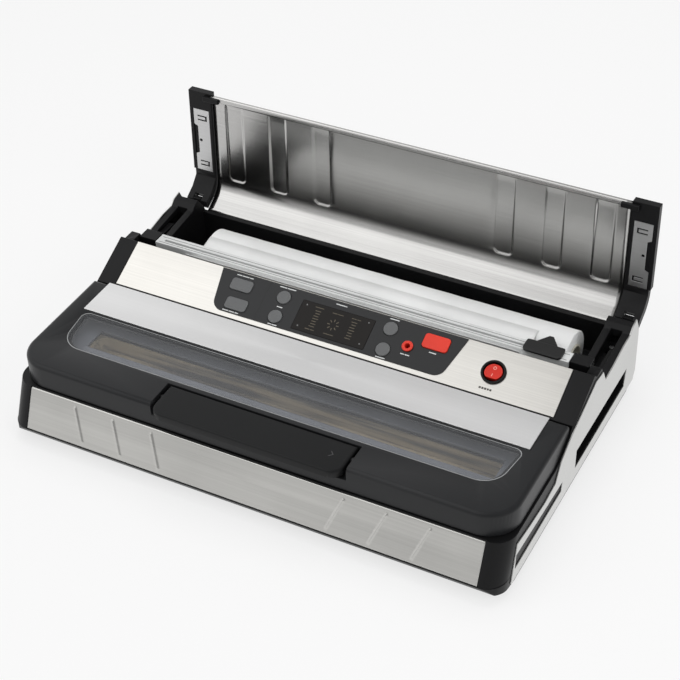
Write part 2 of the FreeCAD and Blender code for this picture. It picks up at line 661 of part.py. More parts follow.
# notches for the hinge ears and lugs beside them
for side in (-1, 1):
    notch = rect(f"{side} * hinge_x", "-lid_rear", "20", "8")
    pocket(frame, "XY", [notch], "hinge_z + 2.5 - lid_low", level="lid_low", back=True)
    for off in (-7, 7):
        lug = rect(f"{side} * hinge_x + {off}", "-hinge_y", "5", "6.4")
        pad(frame, "XY", [lug], "lid_ceiling - hinge_z + 3.2", level="hinge_z - 3.2")
lug_bore = ("circle", "-hinge_y", "hinge_z", "hinge_pin / 2")
for side in (-1, 1):
    pocket(frame, "YZ", [lug_bore], "22", level=f"{side} * hinge_x - 11", back=True)

# Lid window, silver lid plate, gasket carrier, upper gasket and pressure strip.
window = new_body("lid_window")
pad(window, "XY", [WINDOW], "window", level="lid_top - window")
for side in (-1, 1):
    fillet(window, "18", x=f"{side} * {window_front}", y="-98")
    fillet(window, "6", x=f"{side} * {window_rear}", y="-58")
lid_plate = new_body("lid_plate")
lid_plate_loop = box("-lid_half + 14.5", "lid_half - 14.5", "-56", "-lid_rear - 0.2")
pad(lid_plate, "XY", [lid_plate_loop], "1", level="lid_top")
carrier = new_body("gasket_carrier")
carrier_outer = box("-lid_half + 7.5", "lid_half - 7.5", "-102.5", "-45.5")
carrier_loops = [carrier_outer, box("-chamber + 4.5", "chamber - 4.5", "-79", "-59")]
pad(carrier, "XY", carrier_loops, "2", level="carrier_top - 2")
upper_gasket = new_body("upper_gasket")
pad(upper_gasket, "XY", seal_ring, "carrier_top - 2 - gasket_top - gap", level="gasket_top + gap")
strip = new_body("pressure_strip")
strip_loop = box("-chamber - 1.5", "chamber + 1.5", "-98", "-91")
pad(strip, "XY", [strip_loop], "carrier_top - 2 - gasket_top - gap", level="gasket_top + gap")

# Vacuum lid hinge: ears on the deck, pins held in the lid.
ears = new_body("lid_hinge_ears")
for side in (-1, 1):
    ear = [
        ("-hinge_y - 3.2", "deck"), ("-hinge_y + 3.2", "deck"), ("-hinge_y + 3.2", "hinge_z"),
        ("-hinge_y + 1.6", "hinge_z + 3"), ("-hinge_y - 1.6", "hinge_z + 3"), ("-hinge_y - 3.2", "hinge_z"),
    ]
    bore = ("circle", "-hinge_y", "hinge_z", "hinge_pin / 2 + running")
    pad(ears, "YZ", [ear, bore], "8", level=f"{side} * hinge_x - 4")
pins = new_body("lid_hinge_pins")
for side in (-1, 1):
    pad(pins, "YZ", [lug_bore], "19", level=f"{side} * hinge_x - 9.5")

# Lid lever: the locking handle, its shaft and the two hooks under it.
lever = new_body("lid_lever")
lever_loop = box("-lever", "lever", "-lever_front", "-lever_rear")
pad(lever, "XY", [lever_loop], "lever_top - lever_low", level="lever_low")
for side in (-1, 1):
    fillet(lever, "9", x=f"{side} * lever", y="-lever_front")
fillet(lever, "1.8", z="lever_top")
pocket(lever, "YZ", [("circle", "-shaft_y", "shaft_z", "shaft / 2")], "2 * lever + 2", both=True)
shaft = new_body("lever_shaft")
pad(shaft, "YZ", [("circle", "-shaft_y", "shaft_z", "shaft / 2")], "2 * lever_room + 6", both=True)
hooks = new_body("latch_hooks")
hook = [
    ("-113.5", "lever_low"), ("-111.2", "lever_low"), ("-111.2", "hook_catch"), ("-107.6", "hook_catch"),
    ("-107.6", "hook_catch - 1.5"), ("-109", "hook_catch - 2.6"), ("-113.5", "hook_catch - 2.6"),
]
for side in (-1, 1):
    pad(hooks, "YZ", [hook], "6", level=f"{side} * hook_x - 3")

# Storage lid: steel sheet rolled at its rear edge, two end caps, inlays, catches and pins.
cover = new_body("storage_lid_sheet", COVER)
toe = ("cover_off - 13 - 0.837 * cover_tail", "-1.5 - 0.547 * cover_tail")
cover_loop = [
    ("cover_off", "cover_high"), ("cover_off - 3.3", "cover_high"), ("cover_off - 3.3", "cover_high - skin"),
    ("cover_off - skin", "cover_high - skin"), ("cover_off - skin", "cover_foot + 0.4"),
    ("cover_off - 13.4 - 0.837 * cover_tail", "-0.8 - 0.547 * cover_tail"), toe, ("cover_off", "cover_foot"),
]
pad(cover, "YZ", [cover_loop], "2 * (cap_inner - gap)", both=True)
fillet(cover, "cover_bend", y="cover_off", z="cover_foot")
fillet(cover, "cover_bend - skin", y="cover_off - skin", z="cover_foot + 0.4")

cap_loop = [
    ("cap_outer", "cover_high + 1"), ("cap_outer - cap_thick", "cover_high + 1"),
    ("cap_outer - cap_thick", "17"), ("6.5", "9"), ("-2.5", "3.2"), ("-3.6", "-1"), ("-1", "-3.6"),
    ("cap_outer", "8"),
]
rim_loop = [
    ("cap_outer", "cover_high + 1"), ("cap_outer - cap_thick", "cover_high + 1"),
    ("cap_outer - cap_thick", "22"), ("cap_outer", "22"),
]
catches = new_body("storage_lid_catches", COVER)
inlays = new_body("storage_lid_inlays", COVER)
cover_pins = new_body("storage_hinge_pins", COVER)
brackets = new_body("storage_hinge_brackets")
for side, name in ((-1, "left_lid_cap"), (1, "right_lid_cap")):
    low = (1 - side) // 2
    cap = new_body(name, COVER)
    arm = "(half - cap_rim - cap_inner)"
    pad(cap, "YZ", [cap_loop], arm, level=f"{side} * cap_inner - {low} * {arm}")
    fillet(cap, "cover_bend + 1", y="cap_outer", z="8")
    pad(cap, "YZ", [rim_loop], "cap_rim", level=f"{side} * (half - cap_rim) - {low} * cap_rim")
    # clevis for the hinge bracket, bore of the pin and seat of the inlay
    slot = [("circle", "0", "0", "6.6")]
    pocket(cap, "YZ", slot, "7.6", level=f"{side} * knuckle - 3.8", back=True)
    pin = ("circle", "0", "0", "cover_pin / 2")
    pocket(cap, "YZ", [pin], "18", level=f"{side} * (knuckle - 0.2) - 9", back=True)
    seat = box("cap_outer - cap_thick - 1", "cap_outer - cap_thick + 1", "22", "79")
    pocket(cap, "YZ", [seat], "15", level=f"{side} * knuckle - 7.5", back=True)
    plate = box("cap_outer - cap_thick + 0.2", "cap_outer - cap_thick + 1", "22 + gap", "79 - gap")
    pad(inlays, "YZ", [plate], "14.4", level=f"{side} * knuckle - 7.2")
    catch = [("cap_outer - cap_thick", "cover_high - 6"), ("cap_outer - cap_thick", "cover_high - 1"),
             ("cap_outer - cap_thick - 3", "cover_high - 1"), ("cap_outer - cap_thick - 3", "cover_high - 5")]
    pad(catches, "YZ", [catch], "14", level=f"{side} * (cap_inner - 1.1) - 7")
    pad(cover_pins, "YZ", [pin], "16.6", level=f"{side} * (knuckle - 0.2) - 8.3")
    ear = [("back", "cover_z - 14"), ("back + 3", "cover_z - 14"), ("cover_y + 3.9", "cover_z - 2"),
           ("cover_y + 3.9", "cover_z + 2"), ("cover_y + 2", "cover_z + 4"), ("cover_y - 2", "cover_z + 4"),
           ("back", "cover_z - 5")]
    bore = ("circle", "cover_y", "cover_z", "cover_pin / 2 + running")
    pad(brackets, "YZ", [ear, bore], "7", level=f"{side} * knuckle - 3.5")

# Cutter: a slotted rail that lifts on two end pivots, and a slider with its blade.
rail = new_body("cutter_rail")
rail_loop = box("rail_front", "rail_back", "rail_low", "rail_top")
pad(rail, "YZ", [rail_loop], "2 * rail_half", both=True)
slit = box("-rail_half + 6", "rail_half - 6", "rail_slit - 1.1", "rail_slit + 1.1")
pocket(rail, "XY", [slit], "rail_top - rail_low + 2", level="rail_top + 1")
pad(rail, "YZ", [("circle", "rail_pivot_y", "rail_pivot_z", "rail_pin / 2")], "2 * rail_half + 9", both=True)
pivots = new_body("rail_pivot_blocks")
for side in (-1, 1):
    low = (1 - side) // 2
    block = box("rail_front + 0.8", "rail_back + 1", "ledge", "rail_top + 0.5")
    bore = ("circle", "rail_pivot_y", "rail_pivot_z", "rail_pin / 2 + running")
    block_wide = "(bay + 11 - rail_half - gap)"
    pad(pivots, "YZ", [block, bore], block_wide, level=f"{side} * (rail_half + gap) - {low} * {block_wide}")
slider = new_body("cutter_slider")
slide_loop = [("rail_front - 1.5", "rail_top + gap"), ("rail_back + 0.5", "rail_top + gap"),
              ("rail_back + 0.5", "rail_top + 1.6"), ("rail_back - 1", "rail_top + 2.4"),
              ("rail_front", "rail_top + 2.4"), ("rail_front - 1.5", "rail_top + 1.6")]
pad(slider, "YZ", [slide_loop], "cutter_length", level="cutter_x - cutter_length / 2")
for side in (-1, 1):
    end_x = f"cutter_x + {side} * cutter_length / 2"
    fillet(slider, "3", x=end_x, y="rail_front - 1.5")
    fillet(slider, "3", x=end_x, y="rail_back + 0.5")
fin = [("cutter_x - 8", "rail_back"), ("cutter_x + 8", "rail_back"), ("cutter_x + 1.5", "rail_back + 9"),
       ("cutter_x - 1.5", "rail_back + 9")]
pad(slider, "XY", [fin], "1.5", level="rail_top + 0.4")
pad(slider, "XY", [rect("cutter_x", "rail_slit", "20", "1.6")], "2 + gap", level="rail_top - 2")
blade = new_body("cutter_blade")
pad(blade, "XY", [rect("cutter_x", "rail_slit", "14", "0.5")], "3", level="rail_top - 5")

# Bag roll on its card core, and the film that leaves the roll, passes under the rail and stands up its
# free end against the slope.
core = new_body("roll_core")
ring = [("circle", "roll_y", "roll_z", "core_dia / 2"), ("circle", "roll_y", "roll_z", "core_dia / 2 - 1.5")]
pad(core, "YZ", ring, "roll_length", level="roll_shift - roll_length / 2")
roll = new_body("film_roll")
wound = [("circle", "roll_y", "roll_z", "roll_dia / 2"), ("circle", "roll_y", "roll_z", "core_dia / 2")]
pad(roll, "YZ", wound, "roll_length - 2", level="roll_shift - roll_length / 2 + 1")
film = new_body("film_end")
reach = "(roll_dia / 2 + gap)"
film_loop = [
    ("rail_back + gap", "ledge"),
    (f"roll_y + {reach} * cos(film_turn)", f"roll_z + {reach} * sin(film_turn)"),
    (f"roll_y + ({reach} + film) * cos(film_turn)", f"roll_z + ({reach} + film) * sin(film_turn)"),
    ("rail_back + gap", "ledge + film"),
    ("28.4", "ledge + film"),
    ("22.9", "ledge + 11.4"),
    ("22.7", "ledge + 11.3"),
    ("28.2", "ledge"),
]
pad(film, "YZ", [film_loop], "roll_length - 28", both=True)

# Works inside: pump with its motor and crank disc, hose, transformer and power board.
PUMP_AXIS = ("2", "28")
motor = new_body("pump_motor")
pad(motor, "YZ", [("circle", *PUMP_AXIS, "15")], "62", level="-works")
pad(motor, "YZ", [("circle", *PUMP_AXIS, "2")], "9", level="-works + 62")
pad(motor, "XY", [box("-works + 2", "-works + 60", "-8", "12")], "12", level="foot + wall")
crank = new_body("pump_crank")
disc = [("circle", *PUMP_AXIS, "11"), ("circle", *PUMP_AXIS, "2 + running")]
pad(crank, "YZ", disc, "6", level="-works + 64")
pump = new_body("pump_head")
pad(pump, "XY", [box("-works + 72", "-works + 110", "-12", "16")], "38", level="foot + wall")
transformer = new_body("transformer")
pad(transformer, "XY", [box("works - 80", "works - 22", "-8", "34")], "38", level="foot + wall")
power_board = new_body("power_board")
left, right, front, rear = "-30", "90", "-114", "-90"
pad(power_board, "XY", [box(left, right, front, rear)], "1.6", level="foot + wall + 6")
stands = [
    ("circle", x, y, "3")
    for x in (f"{left} + 5", f"{right} - 5") for y in (f"{front} + 4.5", f"{rear} - 4.5")
]
pad(power_board, "XY", stands, "6", level="foot + wall")

# Suction hose from the pump head to the floor of the chamber tray.
hose_x, pump_face, tray_y, bend = number("-works + 95"), -12.0, -69.0, 10.0
floor_z = number("tray_floor")
hose_z = floor_z - bend - 0.6


def hose_solid(radius):
    """A round bar of this radius along the hose: level from the pump, then up into the tray."""
    knee = bend * (1 - 0.5**0.5)
    leave = FreeCAD.Vector(hose_x, pump_face, hose_z)
    bend_in = FreeCAD.Vector(hose_x, tray_y + bend, hose_z)
    bend_mid = FreeCAD.Vector(hose_x, tray_y + knee, hose_z + knee)
    bend_out = FreeCAD.Vector(hose_x, tray_y, hose_z + bend)
    arrive = FreeCAD.Vector(hose_x, tray_y, floor_z)
    level = Part.LineSegment(leave, bend_in)
    turn = Part.Arc(bend_in, bend_mid, bend_out)
    rise = Part.LineSegment(bend_out, arrive)
    path = Part.Wire([run.toShape() for run in (level, turn, rise)])
    section = Part.Wire(Part.makeCircle(radius, leave, FreeCAD.Vector(0, -1, 0)))
    return path.makePipeShell([section], True, False)


hose = doc.addObject("Part::Feature", "vacuum_hose")
hose.Label = "vacuum_hose"
hose.Shape = hose_solid(4.0).cut(hose_solid(2.5))

# Cord entry bush, feet and pan screws.
bush = new_body("cord_grommet")
pad(bush, "YZ", [box("back - wall - 1", "back + 4", "24", "34")], "10", level="-shell + 5")
feet = new_body("feet")
foot_spots = [("circle", f"{s} * (half - 27)", y, "8") for s in (-1, 1) for y in (-100, 85)]
pad(feet, "XY", foot_spots, "foot")
screws = new_body("pan_screws")
screw_spots = [("circle", f"{s} * (half - 47)", y, "3") for s in (-1, 0, 1) for y in (-70, 70)]
pad(screws, "XY", screw_spots, "1", level="foot - 1")

doc.recompute()
parts = [o for o in doc.Objects if o.TypeId in ("PartDesign::Body", "Part::Feature")]
for item in doc.Objects:
    if "Invalid" in item.State or "Error" in item.State:
        raise RuntimeError(f"{item.Label} failed")
for item in parts:
    if item.Shape.isNull() or not item.Shape.isValid():
        raise RuntimeError(f"{item.Label} has no sound shape")
os.makedirs("parts", exist_ok=True)
for item in parts:
    item.Shape.exportStep(f"parts/{item.Label}.step")
print(len(parts), "sub-parts written")
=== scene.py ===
import json
import math

import bmesh
import bpy
from mathutils import Matrix, Vector

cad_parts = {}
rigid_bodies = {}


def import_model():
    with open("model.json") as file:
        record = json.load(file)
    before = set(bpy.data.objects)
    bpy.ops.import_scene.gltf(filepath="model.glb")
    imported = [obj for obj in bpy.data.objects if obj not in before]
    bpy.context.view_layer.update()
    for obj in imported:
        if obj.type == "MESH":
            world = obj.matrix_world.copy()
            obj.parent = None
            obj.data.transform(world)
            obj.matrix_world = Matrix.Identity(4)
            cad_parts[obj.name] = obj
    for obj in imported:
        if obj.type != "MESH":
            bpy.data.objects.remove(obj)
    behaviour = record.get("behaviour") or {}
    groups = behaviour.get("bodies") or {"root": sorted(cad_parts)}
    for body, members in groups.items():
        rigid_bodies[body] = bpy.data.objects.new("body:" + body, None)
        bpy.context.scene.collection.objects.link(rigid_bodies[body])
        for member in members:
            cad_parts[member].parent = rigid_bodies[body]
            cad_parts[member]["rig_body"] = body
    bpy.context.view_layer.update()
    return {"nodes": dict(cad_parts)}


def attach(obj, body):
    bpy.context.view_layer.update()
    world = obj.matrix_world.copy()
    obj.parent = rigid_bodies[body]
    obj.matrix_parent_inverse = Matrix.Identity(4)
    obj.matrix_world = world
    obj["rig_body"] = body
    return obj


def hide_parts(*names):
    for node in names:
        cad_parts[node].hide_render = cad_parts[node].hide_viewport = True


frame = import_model()
nodes = frame["nodes"]

# Camera: a long lens above the front right corner, at the angle and distance of the photograph.
# It is tipped a little clockwise about its own line of sight.
camera_place = Vector((0.4771, -0.8477, 0.8420))
azimuth, elevation, roll_tilt = (math.radians(a) for a in (29.008, 38.931, 2.305))
back = Vector((
    math.sin(azimuth) * math.cos(elevation),
    -math.cos(azimuth) * math.cos(elevation),
    math.sin(elevation),
))
right = (-back).cross(Vector((0, 0, 1))).normalized()
down = (-back).cross(right).normalized()
across = math.cos(roll_tilt) * right + math.sin(roll_tilt) * down
upward = math.sin(roll_tilt) * right - math.cos(roll_tilt) * down
camera_data = bpy.data.cameras.new("studio_camera")
camera_data.lens = 90.06
camera_data.sensor_width = 36.0
camera = bpy.data.objects.new("studio_camera", camera_data)
bpy.context.scene.collection.objects.link(camera)
camera_turn = Matrix((across, upward, back)).transposed().to_4x4()
camera.matrix_world = Matrix.Translation(camera_place) @ camera_turn
bpy.context.scene.camera = camera

# Studio: a pale room of soft light, white on its left and light grey on its right. The lens, metal and glass
# all see that same room. As a light it is dimmer, so that dark plastic keeps its depth.
room_white, room_grey, room_as_light = 1.0, 0.42, 0.45
white_until, grey_from = -0.62, -0.12
scene = bpy.context.scene
scene.view_settings.view_transform = "Standard"
world = bpy.data.worlds.new("studio")
scene.world = world
world.use_nodes = True
tree = world.node_tree
tree.nodes.clear()
rays = tree.nodes.new("ShaderNodeLightPath")
lens_or_metal, seen = tree.nodes.new("ShaderNodeMath"), tree.nodes.new("ShaderNodeMath")
lens_or_metal.operation = seen.operation = "MAXIMUM"
tree.links.new(rays.outputs["Is Camera Ray"], lens_or_metal.inputs[0])
tree.links.new(rays.outputs["Is Glossy Ray"], lens_or_metal.inputs[1])
tree.links.new(lens_or_metal.outputs[0], seen.inputs[0])
tree.links.new(rays.outputs["Is Transmission Ray"], seen.inputs[1])
room_way = tree.nodes.new("ShaderNodeTexCoord")
room_sides = tree.nodes.new("ShaderNodeSeparateXYZ")
tree.links.new(room_way.outputs["Generated"], room_sides.inputs["Vector"])
room = tree.nodes.new("ShaderNodeMapRange")
room.inputs["From Min"].default_value = white_until
room.inputs["From Max"].default_value = grey_from
room.inputs["To Min"].default_value = room_white
room.inputs["To Max"].default_value = room_grey
tree.links.new(room_sides.outputs["X"], room.inputs["Value"])
strength = tree.nodes.new("ShaderNodeMapRange")
strength.inputs["To Min"].default_value = room_as_light
tree.links.new(seen.outputs[0], strength.inputs["Value"])
tree.links.new(room.outputs["Result"], strength.inputs["To Max"])
sky = tree.nodes.new("ShaderNodeBackground")
sky.inputs["Color"].default_value = (1, 1, 1, 1)
tree.links.new(strength.outputs["Result"], sky.inputs["Strength"])
world_out = tree.nodes.new("ShaderNodeOutputWorld")
tree.links.new(sky.outputs["Background"], world_out.inputs["Surface"])
for lamp_name, place, aim, size, watts, in_metal in (
    ("key_light", (-0.7, -0.9, 1.5), (0, 0, 0.05), 1.9, 10, True),
    ("fill_light", (1.3, -0.4, 1.0), (0, 0, 0.05), 0.8, 6, False),
    ("top_light", (0.0, 0.5, 1.7), (0, 0.02, 0.05), 1.0, 10, False),
):
    lamp_data = bpy.data.lights.new(lamp_name, "AREA")
    lamp_data.size = size
    lamp_data.energy = watts
    lamp = bpy.data.objects.new(lamp_name, lamp_data)
    scene.collection.objects.link(lamp)
    lamp.location = place
    lamp.visible_glossy = in_metal
    lamp.rotation_euler = (Vector(aim) - Vector(place)).to_track_quat("-Z", "Y").to_euler()

# Floor: pale seamless paper under the feet. To the lens it is mostly white and keeps a soft shadow, and in
# metal and glass it shows as white.
floor_half, paper_tone, lens_share = 6.0, 0.82, 0.72
floor_mesh = bpy.data.meshes.new("paper_floor")
floor_corners = [(x * floor_half, y * floor_half, 0) for x, y in ((-1, -1), (1, -1), (1, 1), (-1, 1))]
floor_mesh.from_pydata(floor_corners, [], [(0, 1, 2, 3)])
floor = bpy.data.objects.new("paper_floor", floor_mesh)
scene.collection.objects.link(floor)
paper = bpy.data.materials.new("paper")
paper.use_nodes = True
tree = paper.node_tree
tree.nodes.clear()
matt = tree.nodes.new("ShaderNodeBsdfDiffuse")
matt.inputs["Color"].default_value = (paper_tone, paper_tone, paper_tone, 1)
glow = tree.nodes.new("ShaderNodeEmission")
glow.inputs["Color"].default_value = (1, 1, 1, 1)
rays = tree.nodes.new("ShaderNodeLightPath")
share = tree.nodes.new("ShaderNodeMath")
share.operation = "MULTIPLY"
share.inputs[1].default_value = lens_share
tree.links.new(rays.outputs["Is Camera Ray"], share.inputs[0])
lens_or_metal, white_part = tree.nodes.new("ShaderNodeMath"), tree.nodes.new("ShaderNodeMath")
lens_or_metal.operation = white_part.operation = "MAXIMUM"
tree.links.new(share.outputs[0], lens_or_metal.inputs[0])
tree.links.new(rays.outputs["Is Glossy Ray"], lens_or_metal.inputs[1])
tree.links.new(lens_or_metal.outputs[0], white_part.inputs[0])
tree.links.new(rays.outputs["Is Transmission Ray"], white_part.inputs[1])
mixed = tree.nodes.new("ShaderNodeMixShader")
tree.links.new(white_part.outputs[0], mixed.inputs["Fac"])
tree.links.new(matt.outputs["BSDF"], mixed.inputs[1])
tree.links.new(glow.outputs["Emission"], mixed.inputs[2])
paper_out = tree.nodes.new("ShaderNodeOutputMaterial")
tree.links.new(mixed.outputs["Shader"], paper_out.inputs["Surface"])
floor_mesh.materials.append(paper)


# Housing in two mouldings, the pan under it and their small fittings: injection moulded black plastic with
# a fine spark eroded grain. The housing drops over the pan and is screwed up from below.
def grain_group():
    """Fine moulded grain: a height, a roughness and a faint mottle of the colour."""
    group = bpy.data.node_groups.new("moulded_grain", "ShaderNodeTree")
    for name, kind, way in (
        ("Color", "NodeSocketColor", "INPUT"), ("Roughness", "NodeSocketFloat", "INPUT"),
        ("Scale", "NodeSocketFloat", "INPUT"), ("Color", "NodeSocketColor", "OUTPUT"),
        ("Roughness", "NodeSocketFloat", "OUTPUT"), ("Height", "NodeSocketFloat", "OUTPUT"),
    ):
        group.interface.new_socket(name, in_out=way, socket_type=kind)
    put, link = group.nodes.new, group.links.new
    inlet, outlet = put("NodeGroupInput"), put("NodeGroupOutput")
    place = put("ShaderNodeTexCoord")
    fine = put("ShaderNodeTexNoise")
    fine.inputs["Detail"].default_value = 3
    broad = put("ShaderNodeTexNoise")
    broad.inputs["Scale"].default_value = 22
    broad.inputs["Detail"].default_value = 4
    link(place.outputs["Object"], fine.inputs["Vector"])
    link(place.outputs["Object"], broad.inputs["Vector"])
    link(inlet.outputs["Scale"], fine.inputs["Scale"])
    lift = put("ShaderNodeMapRange")
    lift.inputs["To Min"].default_value = 0.82
    lift.inputs["To Max"].default_value = 1.18
    link(broad.outputs["Fac"], lift.inputs["Value"])
    tone = put("ShaderNodeVectorMath")
    tone.operation = "SCALE"
    link(inlet.outputs["Color"], tone.inputs[0])
    link(lift.outputs["Result"], tone.inputs["Scale"])
    link(tone.outputs["Vector"], outlet.inputs["Color"])
    sheen = put("ShaderNodeMath")
    sheen.operation = "MULTIPLY"
    link(inlet.outputs["Roughness"], sheen.inputs[0])
    link(lift.outputs["Result"], sheen.inputs[1])
    link(sheen.outputs[0], outlet.inputs["Roughness"])
    link(fine.outputs["Fac"], outlet.inputs["Height"])
    return group


moulded_grain = grain_group()


def plastic(name, color, roughness, grain=1800.0, depth=0.06, **fixed):
    """A moulded plastic. fixed sets plain values on the shader's own sockets."""
    material = bpy.data.materials.new(name)
    material.use_nodes = True
    tree = material.node_tree
    shader = tree.nodes["Principled BSDF"]
    effect = tree.nodes.new("ShaderNodeGroup")
    effect.node_tree = moulded_grain
    effect.inputs["Color"].default_value = (*color, 1)
    effect.inputs["Roughness"].default_value = roughness
    effect.inputs["Scale"].default_value = grain
    bump = tree.nodes.new("ShaderNodeBump")
    bump.inputs["Strength"].default_value = depth
    bump.inputs["Distance"].default_value = 0.0003
    tree.links.new(effect.outputs["Color"], shader.inputs["Base Color"])
    tree.links.new(effect.outputs["Roughness"], shader.inputs["Roughness"])
    tree.links.new(effect.outputs["Height"], bump.inputs["Height"])
    tree.links.new(bump.outputs["Normal"], shader.inputs["Normal"])
    for socket, value in fixed.items():
        shader.inputs[socket.replace("_", " ")].default_value = value
    return material


sharp_from = 32


def finish_mesh(piece, material, sharp=sharp_from):
    """One material, and smooth shading up to the sharp edges."""
    piece.data.materials.clear()
    piece.data.materials.append(material)
    piece.data.shade_smooth()
    piece.data.set_sharp_from_angle(angle=math.radians(sharp))


def break_edges(piece, width, steps=2, clamp=False):
    """Rounds the sharp edges of a piece by a small radius in metres.

    clamp holds the radius to what short edges allow.
    """
    edges = piece.modifiers.new("broken_edges", "BEVEL")
    edges.width = width
    edges.segments = steps
    edges.limit_method = "ANGLE"
    edges.angle_limit = math.radians(sharp_from)
    edges.use_clamp_overlap = clamp
    edges.harden_normals = True


def carve(piece, hollows):
    """Cuts prisms out of a piece. A hollow is a list of (y, z) corners in millimetres and its two X ends."""
    form = bmesh.new()
    for corners, x0, x1 in hollows:
        ends = [
            [form.verts.new((x / 1000, y / 1000, z / 1000)) for y, z in corners] for x in (x0, x1)
        ]
        form.faces.new(ends[0])
        form.faces.new(ends[1][::-1])
        count = len(corners)
        for i in range(count):
            j = (i + 1) % count
            form.faces.new((ends[0][j], ends[0][i], ends[1][i], ends[1][j]))
    bmesh.ops.recalc_face_normals(form, faces=form.faces)
    cutter_mesh = bpy.data.meshes.new("hollows")
    form.to_mesh(cutter_mesh)
    form.free()
    cutter = bpy.data.objects.new("hollows", cutter_mesh)
    scene.collection.objects.link(cutter)
    cut = piece.modifiers.new("cut", "BOOLEAN")
    cut.operation = "DIFFERENCE"
    cut.solver = "EXACT"
    cut.use_self = True
    cut.object = cutter
    bpy.context.view_layer.update()
    ready = piece.evaluated_get(bpy.context.evaluated_depsgraph_get())
    carved = bpy.data.meshes.new_from_object(ready)
    piece.modifiers.clear()
    piece.data = carved
    bpy.data.objects.remove(cutter)


def soften(node, material, width=0.0004, hollows=(), clamp=False):
    """The node's own form with its sharp edges broken, as a mould leaves them, and with hollows cut in."""
    source = nodes[node]
    piece = bpy.data.objects.new(node + "_moulding", source.data.copy())
    scene.collection.objects.link(piece)
    if hollows:
        carve(piece, hollows)
    form = bmesh.new()
    form.from_mesh(piece.data)
    bmesh.ops.remove_doubles(form, verts=form.verts, dist=2e-6)
    bmesh.ops.dissolve_limit(form, angle_limit=math.radians(0.6), verts=form.verts, edges=form.edges)
    bmesh.ops.connect_verts_concave(form, faces=form.faces)
    form.to_mesh(piece.data)
    form.free()
    finish_mesh(piece, material)
    break_edges(piece, width, clamp=clamp)
    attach(piece, source["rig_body"])
    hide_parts(node)
    return piece


black_plastic = plastic("black_plastic", (0.0075, 0.0075, 0.008), 0.42, Specular_IOR_Level=0.18)
for node in ("main_housing", "base_pan", "rail_pivot_blocks", "storage_hinge_brackets"):
    soften(node, black_plastic)
soften("lid_hinge_ears", black_plastic, 0.0005)
well_front, well_rear, well_inner, well_outer = 46.0, 94.0, 181.6, 190.4
well_floor, mouth_floor, well_above = 49.5, 50, 72


def well(front, rear, floor, inner, outer, side):
    """A hollow in a side wall, open at the top."""
    corners = [(front, floor), (rear, floor), (rear, well_above), (front, well_above)]
    return corners, side * inner, side * outer


well_mouths = [
    well(well_front, well_rear, mouth_floor, well_inner, well_outer, side) for side in (-1, 1)
]
soften("roll_bay_tub", black_plastic, hollows=well_mouths)

# Wells of the side walls: moulded black liners pushed up under the openings in the wall tops. Each has a deep
# channel beside a ledge, and a deep rear end for one screw.
liner_rim, liner_high, liner_level = 1.8, 7.6, 52.2
ledge_x, ledge_level, deep_end, overlap = well_inner + 4.8, 54.6, 80.0, 0.01
for side, name in ((-1, "left_well"), (1, "right_well")):
    liner = bpy.data.objects.new(name, bpy.data.meshes.new(name))
    scene.collection.objects.link(liner)
    form = bmesh.new()
    bmesh.ops.create_cube(form, size=1)
    liner_size = (well_outer - well_inner + liner_rim, well_rear - well_front + liner_rim, liner_high)
    liner_middle = (side * (well_inner + well_outer) / 2, (well_front + well_rear) / 2, liner_level)
    bmesh.ops.scale(form, vec=Vector(liner_size) / 1000, verts=form.verts)
    bmesh.ops.translate(form, vec=Vector(liner_middle) / 1000, verts=form.verts)
    form.to_mesh(liner.data)
    form.free()
    carve(liner, [
        well(well_front, deep_end, well_floor, well_inner, ledge_x, side),
        well(well_front, deep_end, ledge_level, ledge_x - overlap, well_outer, side),
        well(deep_end - overlap, well_rear, well_floor, well_inner, well_outer, side),
    ])
    finish_mesh(liner, black_plastic)
    break_edges(liner, 0.0003)
    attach(liner, "housing")

# Grip cups: black finger trays moulded with the same grain as the housing, set behind the rear slots of the
# side walls.
cup_plastic = plastic("cup_plastic", (0.007, 0.007, 0.008), 0.5, Specular_IOR_Level=0.2)
nodes["grip_cups"].data.materials[0] = cup_plastic


